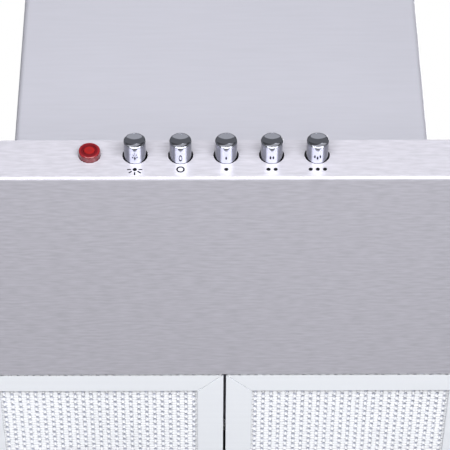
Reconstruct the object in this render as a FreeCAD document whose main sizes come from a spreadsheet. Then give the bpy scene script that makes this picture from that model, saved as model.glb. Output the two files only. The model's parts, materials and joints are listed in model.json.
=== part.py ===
"""Chimney range hood with a slim canopy, two grease filters and five push buttons.

Frame: X to the right, Y into the wall, Z up. The wall is the plane y = 0, the canopy's
underside is z = 0 and x = 0 is the hood's middle plane. Sizes are in millimetres.
"""
import FreeCAD
import Part
import math
import os
import re
import Sketcher
from FreeCAD import Placement, Rotation, Vector

DRIVING = {
    # canopy, folded from stainless sheet
    "canopy_width": 600, "canopy_depth": 500, "canopy_height": 28,
    "sheet": 0.8, "bend_radius": 2.0, "top_flange": 12, "flange_setback": 40,
    "wall_hole": 2.5, "wall_hole_spacing": 260, "wall_hole_height": 7, "air_margin": 8,
    # opening for the grease filters
    "front_band": 164, "opening_width": 292.2, "opening_depth": 300, "lip_height": 10,
    # grease filters
    "filter_gap": 1.6, "filter_clearance": 0.7, "filter_thick": 9, "frame_face": 15,
    "frame_sheet": 0.8, "layer_thick": 0.4, "tab_width": 16, "tab_reach": 6,
    "tab_inset": 26,
    # clearances that several pieces share
    "seat_gap": 0.3, "fit_gap": 0.1, "notch_gap": 1.0, "running_gap": 0.05,
    # filter latch
    "cup_width": 56, "cup_length": 40, "cup_wall": 1.2, "latch_width": 20,
    "latch_thick": 1.8, "latch_height": 3.9, "latch_length": 24, "latch_throw": 5,
    "grip_width": 18, "grip_thick": 3.5, "latch_spring_radius": 2.0, "spring_wire": 0.6,
    # push buttons and pilot lamp
    "button_pitch": 24, "button_radius": 5.8, "button_hole": 6.7, "button_proud": 11.8,
    "button_height": 16.4, "button_inside": 3, "button_dish": 0.9, "dish_radius": 4.9,
    "button_edge": 0.5, "hole_rise": 0.7, "stem_radius": 2.0, "stem_length": 29,
    "button_spring_radius": 4.5, "clip_radius": 3.4, "clip_thick": 1.2,
    "lens_radius": 5.7, "lens_proud": 3.8, "lens_hole": 5.9, "lens_flange": 7.4,
    "lens_wall": 1.2, "lens_edge": 0.4, "pilot_lamp_radius": 2.6,
    # switch block
    "switch_depth": 30, "switch_height": 20, "switch_margin": 12, "switch_wall": 4,
    "switch_gap": 12, "shelf_sheet": 1, "shelf_reach": 10, "shelf_foot": 10,
    # screws
    "screw_radius": 1.5, "screw_head": 3.0, "screw_head_thick": 1.6, "screw_length": 8,
    # blower housing, scroll, impeller and motor
    "side_room": 20.5, "front_room": 18, "housing_height": 250, "housing_back": 2,
    "housing_flange": 8, "scroll_width": 92, "scroll_wall": 1.5,
    "scroll_step": 10, "scroll_radius": 78, "tongue_angle": 60, "scroll_floor": 13,
    "scroll_front": 20, "inlet_radius": 60, "scroll_lug": 7, "lug_length": 8,
    "lug_height": 14,
    "impeller_radius": 70, "impeller_width": 78, "blade_count": 36, "blade_depth": 11,
    "blade_thick": 1.0, "blade_lean": 3.85, "blade_inset": 0.5, "impeller_sheet": 1.2,
    "hub_radius": 12, "hub_length": 16, "shaft_radius": 4, "shaft_inset": 2,
    "motor_radius": 40, "motor_length": 62, "motor_offset": 12, "arm_width": 12,
    "arm_thick": 3, "arm_reach": 6, "arm_start": 2,
    # outlet collar and backdraught flaps
    "collar_radius": 59.5, "collar_wall": 1.5, "collar_length": 42, "collar_flange": 10,
    "collar_margin": 2, "bridge_lap": 1,
    "flap_gap": 1.2, "flap_thick": 1.2, "flap_height": 12, "pin_radius": 1.5,
    "knuckle_radius": 3.0, "knuckle_length": 18, "knuckle_gap": 1.0,
    # duct covers
    "cover_width": 277, "cover_depth": 270, "cover_height": 400, "cover_radius": 4,
    "cover_return": 10, "cover_back": 1, "cover_gap": 0.5, "upper_showing": 30,
    "tab_length": 24,
    # brackets on the wall
    "bracket_width": 200, "bracket_height": 46, "bracket_level": 220, "bracket_hole": 3.25,
    "bracket_hole_spacing": 160, "hook_width": 20, "hook_reach": 5, "hook_rise": 9,
    "bracket_sheet": 2, "top_bracket_height": 24, "top_bracket_spacing": 180,
    "top_bracket_level": 2, "top_bracket_step": 2, "ear_length": 22,
    # electrical box and cable gland
    "control_width": 92, "control_length": 110, "control_height": 22, "control_wall": 2,
    "control_left": 10, "control_front": 150, "gate_length": 14, "gate_floor": 8,
    "terminal_left": 12, "terminal_front": 20, "terminal_width": 50, "terminal_length": 16,
    "terminal_height": 12, "way_radius": 2, "way_height": 4, "capacitor_left": 16,
    "capacitor_front": 75, "capacitor_radius": 8.5, "capacitor_length": 44,
    "gland_radius": 8, "gland_bore": 4, "gland_height": 16, "gland_inside": 6,
    "gland_nut": 11, "nut_height": 5, "gland_inset": 30,
    # round lamps in the canopy's wings
    "lamp_offset": 215, "lamp_setback": 80, "lamp_hole": 30, "bezel_radius": 36,
    "bezel_thick": 2.0, "lamp_lens_radius": 27, "lamp_wall": 1.2, "lamp_height": 20,
    "board_radius": 22, "board_thick": 1.6, "spigot_height": 4, "glass_recess": 0.5,
    "glass_top": 1, "can_inset": 2,
}

DERIVED = {
    "opening_front": "front_band - canopy_depth",
    "opening_rear": "opening_front + opening_depth",
    "filter_front": "opening_front + filter_clearance",
    "filter_rear": "opening_rear - filter_clearance",
    "filter_inner": "filter_gap / 2",
    "filter_outer": "opening_width / 2 - filter_clearance",
    "filter_middle": "(filter_inner + filter_outer) / 2",
    "cup_rear": "filter_rear - frame_face",
    "cup_front": "cup_rear - cup_length",
    "cup_top": "filter_thick - frame_sheet",
    "latch_front": "cup_rear - latch_length",
    "latch_top": "latch_height + latch_thick",
    "canopy_front": "-canopy_depth",
    "canopy_side": "canopy_width / 2",
    "lid_bottom": "canopy_height - sheet",
    "stem_front": "canopy_front + button_inside",
    "switch_front": "canopy_front + switch_gap",
    "switch_rear": "switch_front + switch_depth",
    "hole_height": "button_height + hole_rise",
    "switch_bottom": "hole_height - switch_height / 2",
    "switch_right": "2 * button_pitch + switch_margin",
    "switch_left": "3 * button_pitch + switch_margin",
    "cavity_front": "switch_front + switch_wall",
    "cavity_rear": "switch_rear - switch_wall / 2",
    "shelf_end": "switch_rear + shelf_reach",
    "housing_rear": "-housing_back",
    "housing_front": "front_room - cover_depth",
    "housing_depth": "housing_rear - housing_front",
    "housing_side": "cover_width / 2 - side_room",
    "housing_top": "canopy_height + housing_height",
    "axle_y": "housing_front + scroll_front + scroll_radius + 3.5 * scroll_step",
    "axle_z": "canopy_height + scroll_floor + scroll_radius + 2.5 * scroll_step",
    "scroll_top": "housing_top - sheet",
    "scroll_side": "scroll_width / 2",
    "motor_end": "motor_offset + motor_length",
    "shaft_end": "motor_end - shaft_inset",
    "throat_rear": "axle_y + scroll_step / 2 - scroll_radius * cos(tongue_angle)",
    "throat_front": "axle_y - scroll_radius - 3.5 * scroll_step",
    "collar_y": "(throat_rear + throat_front) / 2",
    "collar_bore": "collar_radius - collar_wall",
    "flap_z": "housing_top + sheet + flap_height",
    "flap_radius": "collar_bore - flap_gap",
    "cover_side": "cover_width / 2",
    "cover_front": "-cover_depth",
    "cover_top": "canopy_height + cover_height",
    "upper_side": "cover_side - sheet - cover_gap",
    "upper_front": "cover_front + sheet + cover_gap",
    "upper_rear": "-cover_back - sheet - cover_gap",
    "upper_bottom": "canopy_height + sheet + seat_gap",
    "upper_top": "cover_top + upper_showing",
    "control_x": "-canopy_side + sheet + control_left",
    "control_y": "canopy_front + control_front",
    "control_top": "sheet + control_height",
    "lamp_y": "canopy_front + lamp_setback",
    "lamp_top": "sheet + lamp_height",
}

ALIASES = re.compile(r"\b(" + "|".join(list(DRIVING) + list(DERIVED)) + r")\b")

doc = FreeCAD.newDocument("range_hood")
sheet = doc.addObject("Spreadsheet::Sheet", "dims")


def fill_sheet():
    """Driving sizes are plain numbers in column A, what follows from them is in column B."""
    for row, (alias, value) in enumerate(DRIVING.items(), 1):
        sheet.set(f"A{row}", str(value))
        sheet.setAlias(f"A{row}", alias)
    for row, (alias, formula) in enumerate(DERIVED.items(), 1):
        sheet.set(f"B{row}", "=" + formula.replace("cos(tongue_angle)", "cos(tongue_angle * 1deg)"))
        sheet.setAlias(f"B{row}", alias)
    doc.recompute()


def size(alias):
    """The present value of one named size."""
    return float(getattr(sheet, alias))


def bind(obj, path, formula):
    """Bind a property to a formula written in the sheet's aliases."""
    obj.setExpression(path, ALIASES.sub(r"dims.\1", str(formula)))


# ---- plain solids -------------------------------------------------------------------------

def box(name, x, y, z):
    """A block between pairs of formulas on each axis."""
    block = doc.addObject("Part::Box", name)
    for side, axis, (low, high) in zip(("Length", "Width", "Height"), "xyz", (x, y, z)):
        bind(block, side, f"({high}) - ({low})")
        bind(block, f".Placement.Base.{axis}", low)
    return block


TURNS = {
    "x": Rotation(Vector(0, 1, 0), 90),
    "y": Rotation(Vector(1, 0, 0), -90),
    "z": Rotation(),
}


def rod(name, axis, centre, radius, start, end):
    """A cylinder along an axis, from start to end, centred on the other two coordinates."""
    cylinder = doc.addObject("Part::Cylinder", name)
    cylinder.Placement = Placement(Vector(), TURNS[axis])
    bind(cylinder, "Radius", radius)
    bind(cylinder, "Height", f"({end}) - ({start})")
    bind(cylinder, f".Placement.Base.{axis}", start)
    for other, place in zip([a for a in "xyz" if a != axis], centre):
        bind(cylinder, f".Placement.Base.{other}", place)
    return cylinder


def joined(name, *pieces):
    """One solid from pieces that overlap or share faces."""
    fuse = doc.addObject("Part::MultiFuse", name)
    fuse.Shapes = list(pieces)
    fuse.Refine = True
    return fuse


def minus(name, base, *tools):
    """A solid with one or more tools cut away."""
    cut = doc.addObject("Part::Cut", name)
    cut.Base = base
    cut.Tool = tools[0] if len(tools) == 1 else grouped(name + "_tools", *tools)
    cut.Refine = True
    return cut


def grouped(name, *pieces):
    """Separate solids kept together as one group."""
    group = doc.addObject("Part::Compound", name)
    group.Links = list(pieces)
    return group


def tube(name, axis, centre, outer, inner, start, end):
    """A ring or a pipe."""
    wall = rod(name + "_wall", axis, centre, outer, start, end)
    bore = rod(name + "_bore", axis, centre, inner, f"({start}) - 1", f"({end}) + 1")
    return minus(name, wall, bore)


# ---- sketched solids ----------------------------------------------------------------------

def body_plane(body, role):
    """One of the body's own origin planes."""
    return next(f for f in body.Origin.OriginFeatures if f.Role == role)


def sketch_on(body, name, role, offset="0"):
    """A sketch on an origin plane, moved along the plane's normal by a formula."""
    sketch = body.newObject("Sketcher::SketchObject", name)
    sketch.AttachmentSupport = (body_plane(body, role), [""])
    sketch.MapMode = "FlatFace"
    bind(sketch, ".AttachmentOffset.Base.z", offset)
    return sketch


def pin_point(sketch, geometry, point, place):
    """Hold a point of the sketch at two formulas measured from its origin."""
    for kind, formula in zip(("DistanceX", "DistanceY"), place):
        index = sketch.addConstraint(Sketcher.Constraint(kind, -1, 1, geometry, point, 1.0))
        bind(sketch, f"Constraints[{index}]", formula)


def outline(sketch, corners):
    """A closed outline of straight runs through corners given as pairs of formulas."""
    count = len(corners)
    first = sketch.GeometryCount
    for index in range(count):
        turn = 2 * math.pi * index / count
        start = Vector(math.cos(turn), math.sin(turn), 0) * 10
        turn = 2 * math.pi * (index + 1) / count
        end = Vector(math.cos(turn), math.sin(turn), 0) * 10
        sketch.addGeometry(Part.LineSegment(start, end), False)
    for index in range(count):
        following = (index + 1) % count
        sketch.addConstraint(
            Sketcher.Constraint("Coincident", first + index, 2, first + following, 1)
        )
    for index, corner in enumerate(corners):
        pin_point(sketch, first + index, 1, corner)


def rectangle(sketch, left, right, low, high):
    outline(sketch, ((left, low), (right, low), (right, high), (left, high)))


def circle(sketch, place, radius):
    index = sketch.addGeometry(Part.Circle(Vector(1, 1, 0), Vector(0, 0, 1), 3), False)
    pin_point(sketch, index, 3, place)
    radius_index = sketch.addConstraint(Sketcher.Constraint("Radius", index, 3.0))
    bind(sketch, f"Constraints[{radius_index}]", radius)


def padded(body, name, sketch, length):
    pad = body.newObject("PartDesign::Pad", name)
    pad.Profile = sketch
    bind(pad, "Length", length)
    sketch.Visibility = False
    doc.recompute()
    return pad


def pocketed(body, name, sketch, length, along_normal):
    """Cut a sketch away, along its normal or against it, and make sure that it cuts."""
    before = body.Shape.Volume
    pocket = body.newObject("PartDesign::Pocket", name)
    pocket.Profile = sketch
    pocket.Reversed = along_normal
    bind(pocket, "Length", length)
    doc.recompute()
    if body.Shape.Volume > before - 0.01:
        raise RuntimeError(f"{body.Label}: {name} cuts nothing")
    return pocket


def turned(body, name, sketch, axis_role):
    """A full turn of a sketch about one of the body's own axes."""
    spin = body.newObject("PartDesign::Revolution", name)
    spin.Profile = sketch
    spin.ReferenceAxis = (body_plane(body, axis_role), [""])
    spin.Angle = 360
    doc.recompute()
    return spin


def edge_names(shape, test):
    """Names of the edges whose middle point and direction pass a test."""
    names = []
    for number, edge in enumerate(shape.Edges, 1):
        middle = edge.CenterOfMass
        run = edge.Vertexes[-1].Point - edge.Vertexes[0].Point
        if test(middle, run):
            names.append(f"Edge{number}")
    return names


def rounded(body, name, feature, test, radius):
    fillet = body.newObject("PartDesign::Fillet", name)
    fillet.Base = (feature, edge_names(feature.Shape, test))
    bind(fillet, "Radius", radius)
    doc.recompute()
    return fillet


def folded_block(name, x, y, z, bent, radius):
    """A block with bent edges: the outside or the inside of a folded sheet."""
    body = new_body(f"{name}_body")
    plan = sketch_on(body, f"{name}_plan", "XY_Plane", z[0])
    rectangle(plan, *x, *y)
    pad = padded(body, f"{name}_block", plan, f"({z[1]}) - ({z[0]})")
    rounded(body, f"{name}_bends", pad, bent, radius)
    return body


def hollowed(body, name, core):
    """Take the inside of a fold away, which leaves the sheet."""
    before = body.Shape.Volume
    boolean = body.newObject("PartDesign::Boolean", name)
    boolean.Type = "Cut"
    boolean.setObjects([core])
    doc.recompute()
    if body.Shape.Volume > before - 0.01:
        raise RuntimeError(f"{body.Label}: {name} cuts nothing")
    return boolean


def new_body(name):
    body = doc.addObject("PartDesign::Body", name)
    doc.recompute()
    return body


def near(value, target):
    return abs(value - target) < 0.01


NODES = []


def node(piece, name):
    """Name a finished sub-part: its label is its file's name."""
    piece.Label = name
    NODES.append(piece)
    return piece


SIDES = {"left": "-", "right": ""}


def span(side, near_middle, far):
    """A pair of x formulas, low first, on the left or the right of the middle plane."""
    if side == "left":
        return f"-({far})", f"-({near_middle})"
    return near_middle, far


# ---- canopy -------------------------------------------------------------------------------

BUTTONS = ("light", "off", "low", "medium", "high")


def button_x(index):
    return f"{index - 2} * button_pitch"


def canopy_shell():
    """Tray folded from sheet: face, sides, underside with its opening and a raised lip."""
    front, side = size("canopy_front"), size("canopy_side")
    body = folded_block(
        "canopy_shell", ("-canopy_side", "canopy_side"), ("canopy_front", "0"),
        ("0", "canopy_height"),
        lambda m, run: near(m.z, 0) and (near(m.y, front) or near(abs(m.x), side)),
        "bend_radius",
    )
    wall = size("sheet")
    inside = folded_block(
        "canopy_inside", ("-canopy_side + sheet", "canopy_side - sheet"),
        ("canopy_front + sheet", "-sheet"), ("sheet", "canopy_height + 1"),
        lambda m, run: near(m.z, wall) and (
            near(m.y, front + wall) or near(abs(m.x), side - wall)),
        "bend_radius - sheet",
    )
    hollowed(body, "canopy_tray", inside)
    lip = sketch_on(body, "lip_plan", "XY_Plane")
    half = "opening_width / 2"
    rectangle(lip, f"-{half} - sheet", f"{half} + sheet",
              "opening_front - sheet", "opening_rear + sheet")
    padded(body, "lip_wall", lip, "lip_height")
    opening = sketch_on(body, "opening_plan", "XY_Plane")
    rectangle(opening, f"-{half}", half, "opening_front", "opening_rear")
    pocketed(body, "filter_opening", opening, "lip_height + 1", True)
    holes = sketch_on(body, "button_hole_plan", "XZ_Plane", "canopy_depth")
    for index in range(len(BUTTONS)):
        circle(holes, (button_x(index), "hole_height"), "button_hole")
    circle(holes, ("-3 * button_pitch", "hole_height"), "lens_hole")
    pocketed(body, "button_holes", holes, "3 * sheet", False)
    lamps = sketch_on(body, "lamp_hole_plan", "XY_Plane")
    for sign in SIDES.values():
        circle(lamps, (f"{sign}lamp_offset", "lamp_y"), "lamp_hole")
    pocketed(body, "lamp_holes", lamps, "3 * sheet", True)
    fixing = sketch_on(body, "wall_hole_plan", "XZ_Plane")
    for sign in SIDES.values():
        circle(fixing, (f"{sign}wall_hole_spacing / 2", "wall_hole_height"), "wall_hole")
    pocketed(body, "wall_holes", fixing, "3 * sheet", True)
    notches = sketch_on(body, "tab_notch_plan", "XY_Plane", "lip_height + 1")
    for side_name in SIDES:
        for middle in ("filter_inner + tab_inset", "filter_outer - tab_inset"):
            low, high = span(side_name, f"{middle} - tab_width / 2 - notch_gap",
                             f"{middle} + tab_width / 2 + notch_gap")
            rectangle(notches, low, high, "opening_front - sheet - 1", "opening_front + 1")
    pocketed(body, "tab_notches", notches, "lip_height + 1 - sheet", False)
    catches = sketch_on(body, "catch_plan", "XY_Plane", "lip_height + 1")
    for side_name in SIDES:
        low, high = span(side_name, "filter_middle - latch_width / 2 - notch_gap",
                         "filter_middle + latch_width / 2 + notch_gap")
        rectangle(catches, low, high, "opening_rear - 1", "opening_rear + sheet + 1")
    pocketed(body, "latch_catches", catches, "lip_height + 1 - latch_height + seat_gap", False)
    return node(body, "canopy_shell")


def canopy_top_panel():
    """Lid of the canopy with three turned-down edges and the air opening of the blower."""
    body = new_body("canopy_top_panel_body")
    plate = sketch_on(body, "lid_plan", "XY_Plane", "lid_bottom")
    inner = "canopy_side - sheet"
    rectangle(plate, f"-({inner})", inner, "canopy_front + sheet", "-sheet")
    padded(body, "lid_plate", plate, "sheet")
    edge = sketch_on(body, "lid_edge_plan", "XY_Plane", "canopy_height - top_flange")
    start = "canopy_front + flange_setback"
    outline(edge, (
        (f"-({inner})", start), (f"-({inner}) + sheet", start),
        (f"-({inner}) + sheet", "-2 * sheet"), (f"{inner} - sheet", "-2 * sheet"),
        (f"{inner} - sheet", start), (inner, start),
        (inner, "-sheet"), (f"-({inner})", "-sheet"),
    ))
    padded(body, "lid_edges", edge, "top_flange")
    air = sketch_on(body, "air_plan", "XY_Plane", "canopy_height + 1")
    rectangle(air, "-housing_side + sheet", "housing_side - sheet",
              "housing_front + sheet", "housing_rear - air_margin")
    pocketed(body, "air_opening", air, "3 * sheet", False)
    holes = sketch_on(body, "lid_hole_plan", "XY_Plane", "canopy_height + 1")
    for place in blower_screw_places() + cover_screw_places():
        circle(holes, place, "screw_radius")
    pocketed(body, "lid_holes", holes, "3 * sheet", False)
    return node(body, "canopy_top_panel")


# ---- buttons, pilot lamp and switch block -------------------------------------------------

def push_button(index, name):
    """Chrome cap with a dished end, turned in one piece with its stem and snap ring."""
    body = new_body(f"button_{name}_body")
    profile = sketch_on(body, f"button_{name}_profile", "XZ_Plane")
    tip = "button_proud"
    back = "-button_inside"
    ring = "-(cavity_front - canopy_front) - seat_gap"
    outline(profile, (
        ("0", f"{tip} - button_dish"), ("dish_radius - button_dish", f"{tip} - button_dish"),
        ("dish_radius", tip), ("button_radius - button_edge", tip),
        ("button_radius", f"{tip} - button_edge"), ("button_radius", back),
        ("stem_radius", back), ("stem_radius", ring), ("clip_radius", ring),
        ("clip_radius", f"{ring} - clip_thick"), ("stem_radius", f"{ring} - clip_thick"),
        ("stem_radius", f"{back} - stem_length"), ("0", f"{back} - stem_length"),
    ))
    turned(body, f"button_{name}_turning", profile, "Z_Axis")
    body.Placement = Placement(Vector(), Rotation(Vector(1, 0, 0), 90))
    bind(body, ".Placement.Base.x", button_x(index))
    bind(body, ".Placement.Base.y", "canopy_front")
    bind(body, ".Placement.Base.z", "button_height")
    node(body, f"button_{name}")
    spring = tube(f"spring_{name}_coil", "y", (button_x(index), "button_height"),
                  "button_spring_radius", "button_spring_radius - 2 * spring_wire",
                  "stem_front + fit_gap", "switch_front - fit_gap")
    node(spring, f"button_spring_{name}")


def pilot_light():
    """Red lens with a lip behind the sheet, and the neon lamp inside it."""
    body = new_body("pilot_lens_body")
    profile = sketch_on(body, "pilot_lens_profile", "XZ_Plane")
    tip = "lens_proud"
    outline(profile, (
        ("0", tip), ("lens_radius - lens_edge", tip), ("lens_radius", f"{tip} - lens_edge"),
        ("lens_radius", "-sheet"), ("lens_flange", "-sheet"),
        ("lens_flange", "-sheet - lens_wall"), ("lens_radius - lens_wall", "-sheet - lens_wall"),
        ("lens_radius - lens_wall", f"{tip} - lens_wall"), ("0", f"{tip} - lens_wall"),
    ))
    turned(body, "pilot_lens_turning", profile, "Z_Axis")
    body.Placement = Placement(Vector(), Rotation(Vector(1, 0, 0), 90))
    bind(body, ".Placement.Base.x", "-3 * button_pitch")
    bind(body, ".Placement.Base.y", "canopy_front")
    bind(body, ".Placement.Base.z", "hole_height")
    node(body, "pilot_lens")
    place = ("-3 * button_pitch", "hole_height")
    lamp = rod("pilot_lamp_bulb", "y", place, "pilot_lamp_radius",
               "canopy_front - lens_proud + 2 * lens_wall", "switch_front + switch_wall")
    node(lamp, "pilot_lamp")


def switch_block():
    """Black switch housing: a guide bore and a chamber behind each button."""
    low, high = "switch_bottom", "switch_bottom + switch_height"
    block = box("switch_block_solid", ("-switch_left", "switch_right"),
                ("switch_front", "switch_rear"), (low, high))
    tools = []
    for index, name in enumerate(BUTTONS):
        place = (button_x(index), "button_height")
        tools.append(rod(f"guide_{name}", "y", place, "stem_radius + running_gap",
                         "switch_front - 1", "cavity_front + 1"))
        tools.append(rod(f"chamber_{name}", "y", place, "clip_radius + notch_gap",
                         "cavity_front", "cavity_rear"))
    lamp_place = ("-3 * button_pitch", "hole_height")
    tools.append(rod("lamp_socket", "y", lamp_place, "pilot_lamp_radius",
                     "switch_front - 1", "switch_front + switch_wall"))
    for sign in SIDES.values():
        x = f"{sign}(1.5 * button_pitch)"
        tools.append(rod(f"switch_screw_hole{sign}", "z", (x, "switch_rear - switch_wall"),
                         "screw_radius", f"{low} - 1", f"{low} + screw_length"))
    node(minus("switch_block_cut", block, *tools), "switch_block")


def switch_bracket():
    """Folded shelf under the switch block, spot welded to the underside."""
    x = ("-switch_left", "switch_right")
    shelf = box("shelf_plate", x, ("switch_front", "shelf_end"),
                ("switch_bottom - shelf_sheet", "switch_bottom"))
    wall = box("shelf_wall", x, ("shelf_end - shelf_sheet", "shelf_end"),
               ("sheet", "switch_bottom"))
    foot = box("shelf_base", x, ("shelf_end - shelf_sheet", "shelf_end + shelf_foot"),
               ("sheet", "sheet + shelf_sheet"))
    holes = []
    for sign in SIDES.values():
        place = (f"{sign}(1.5 * button_pitch)", "switch_rear - switch_wall")
        holes.append(rod(f"shelf_hole{sign}", "z", place, "screw_radius",
                         "switch_bottom - shelf_sheet - 1", "switch_bottom + 1"))
    node(minus("switch_bracket_cut", joined("switch_bracket_sheet", shelf, wall, foot), *holes),
         "switch_bracket")


def screw(name, axis, centre, under_head, direction, length="screw_length"):
    """A pan-head screw: its shank runs from under the head in the given direction."""
    head_far = f"({under_head}) - ({direction}) * screw_head_thick"
    tip = f"({under_head}) + ({direction}) * ({length})"
    ends = (head_far, under_head), (under_head, tip)
    if direction < 0:
        ends = (under_head, head_far), (tip, under_head)
    head = rod(name + "_head", axis, centre, "screw_head", *ends[0])
    shank = rod(name + "_shank", axis, centre, "screw_radius", *ends[1])
    return joined(name, head, shank)


def switch_screws():
    pieces = []
    for side, sign in SIDES.items():
        x = f"{sign}(1.5 * button_pitch)"
        pieces.append(screw(f"switch_screw_{side}", "z", (x, "switch_rear - switch_wall"),
                            "switch_bottom - shelf_sheet", 1))
    node(grouped("switch_screw_pair", *pieces), "switch_screws")


# ---- grease filters -----------------------------------------------------------------------

def grease_filter(side):
    """Folded aluminium frame, mesh pack, latch cup, sliding latch and its spring."""
    low, high = span(side, "filter_inner", "filter_outer")
    inner = "frame_face"
    middle = f"{SIDES[side]}filter_middle"
    y0, y1 = "filter_front", "filter_rear"
    block = box(f"{side}_frame_block", (low, high), (y0, y1), ("0", "filter_thick"))
    window = box(f"{side}_window", (f"{low} + {inner}", f"{high} - {inner}"),
                 (f"{y0} + {inner}", f"{y1} - {inner}"), ("-1", "filter_thick + 1"))
    fold = box(f"{side}_fold", (f"{low} + frame_sheet", f"{high} - frame_sheet"),
               (f"{y0} + frame_sheet", f"{y1} - frame_sheet"),
               ("frame_sheet", "filter_thick - frame_sheet"))
    slot = box(f"{side}_latch_slot",
               (f"{middle} - latch_width / 2 - seat_gap", f"{middle} + latch_width / 2 + seat_gap"),
               (f"{y1} - 2 * frame_sheet", f"{y1} + 1"),
               ("latch_height - seat_gap", "latch_top + seat_gap"))
    channel = minus(f"{side}_channel", block, window, fold, slot)
    tabs = []
    for number, place in enumerate((f"{low} + tab_inset", f"{high} - tab_inset")):
        tabs.append(box(f"{side}_tab_{number}",
                        (f"{place} - tab_width / 2", f"{place} + tab_width / 2"),
                        (f"{y0} - tab_reach", f"{y0} + frame_sheet"),
                        ("sheet + seat_gap", "sheet + seat_gap + frame_sheet")))
    node(joined(f"{side}_frame", channel, *tabs), f"filter_frame_{side}")

    half_cup = "cup_width / 2"
    edge = "(frame_sheet + fit_gap)"
    layers = []
    for number in range(3):
        low_z = f"{edge} + (filter_thick - 2 * {edge} - layer_thick) * {number} / 2"
        layers.append(box(f"{side}_layer_{number}", (f"{low} + {edge}", f"{high} - {edge}"),
                          (f"{y0} + {edge}", f"{y1} - {edge}"),
                          (low_z, f"{low_z} + layer_thick")))
    cup_room = box(f"{side}_cup_room",
                   (f"{middle} - {half_cup} - fit_gap", f"{middle} + {half_cup} + fit_gap"),
                   ("cup_front - fit_gap", "cup_rear + fit_gap"), ("-1", "filter_thick + 1"))
    tongue_room = box(f"{side}_tongue_room",
                      (f"{middle} - latch_width / 2 - notch_gap",
                       f"{middle} + latch_width / 2 + notch_gap"),
                      ("cup_rear", f"{y1} + 1"), ("-1", "filter_thick + 1"))
    pack = grouped(f"{side}_layers", *layers)
    node(minus(f"{side}_pack", pack, cup_room, tongue_room), f"filter_mesh_{side}")

    cup = box(f"{side}_cup_block", (f"{middle} - {half_cup}", f"{middle} + {half_cup}"),
              ("cup_front", "cup_rear"), ("0", "cup_top"))
    hollow = box(f"{side}_cup_hollow",
                 (f"{middle} - {half_cup} + cup_wall", f"{middle} + {half_cup} - cup_wall"),
                 ("cup_front + cup_wall", "cup_rear - cup_wall"), ("-1", "cup_top - cup_wall"))
    mouth = box(f"{side}_cup_mouth",
                (f"{middle} - latch_width / 2 - seat_gap",
                 f"{middle} + latch_width / 2 + seat_gap"),
                ("cup_rear - 2 * cup_wall", "cup_rear + 1"),
                ("latch_height - seat_gap", "latch_top + seat_gap"))
    node(minus(f"{side}_cup", cup, hollow, mouth), f"latch_cup_{side}")

    tongue = box(f"{side}_tongue",
                 (f"{middle} - latch_width / 2", f"{middle} + latch_width / 2"),
                 ("latch_front", "opening_rear + sheet + latch_throw"),
                 ("latch_height", "latch_top"))
    grip = box(f"{side}_grip", (f"{middle} - grip_width / 2", f"{middle} + grip_width / 2"),
               ("latch_front + 1", "latch_front + 1 + grip_thick"),
               ("seat_gap", "latch_height + latch_thick / 2"))
    node(joined(f"{side}_latch", tongue, grip), f"filter_latch_{side}")
    spring = tube(f"{side}_latch_coil", "y", (middle, "latch_height + latch_thick / 2"),
                  "latch_spring_radius", "latch_spring_radius - spring_wire",
                  "cup_front + cup_wall", "latch_front")
    node(spring, f"latch_spring_{side}")


# ---- blower -------------------------------------------------------------------------------

def blower_housing():
    """Galvanised box over the canopy's air opening, with feet, hook slots and an outlet."""
    outer = box("housing_block", ("-housing_side", "housing_side"),
                ("housing_front", "housing_rear"), ("canopy_height", "housing_top"))
    inside = box("housing_inside", ("-housing_side + sheet", "housing_side - sheet"),
                 ("housing_front + sheet", "housing_rear - sheet"),
                 ("canopy_height - 1", "housing_top - sheet"))
    outlet = box("housing_outlet", ("-scroll_side + scroll_wall", "scroll_side - scroll_wall"),
                 ("throat_front + scroll_wall", "throat_rear - scroll_wall"),
                 ("housing_top - 2", "housing_top + 1"))
    cable = rod("housing_cable_hole", "z", ("housing_side - gland_inset", "-gland_inset"),
                "gland_radius", "housing_top - 2", "housing_top + 1")
    slots = []
    for side in SIDES:
        low, high = span(side, "bracket_hole_spacing / 4 - hook_width / 2 - notch_gap",
                         "bracket_hole_spacing / 4 + hook_width / 2 + notch_gap")
        slots.append(box(f"hook_slot_{side}", (low, high), ("housing_rear - 2", "housing_rear + 1"),
                         ("bracket_level - seat_gap", "bracket_level + hook_rise + notch_gap")))
    walls = minus("housing_walls", outer, inside, outlet, cable, *slots)
    feet = [box("foot_front", ("-housing_side", "housing_side"),
                ("housing_front - housing_flange", "housing_front + sheet"),
                ("canopy_height", "canopy_height + sheet"))]
    for side in SIDES:
        feet.append(box(f"foot_{side}",
                        span(side, "housing_side - sheet", "housing_side + housing_flange"),
                        ("housing_front - housing_flange", "housing_rear"),
                        ("canopy_height", "canopy_height + sheet")))
    holes = [rod(f"blower_hole_{n}", "z", place, "screw_radius", "canopy_height - 2",
                 "canopy_height + 2") for n, place in enumerate(blower_screw_places())]
    node(minus("housing_cut", joined("housing_sheet", walls, *feet), *holes), "blower_housing")


def blower_screw_places():
    """Three screws through the front foot and two through each side foot."""
    places = [(x, "housing_front - housing_flange / 2") for x in
              ("-housing_side * 0.7", "0", "housing_side * 0.7")]
    for sign in SIDES.values():
        for share in ("0.25", "0.75"):
            places.append((f"{sign}(housing_side + housing_flange / 2)",
                           f"housing_rear - housing_depth * {share}"))
    return places


def blower_screws():
    pieces = [screw(f"blower_screw_{n}", "z", place, "canopy_height + sheet", -1)
              for n, place in enumerate(blower_screw_places())]
    node(grouped("blower_screw_set", *pieces), "blower_screws")


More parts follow.
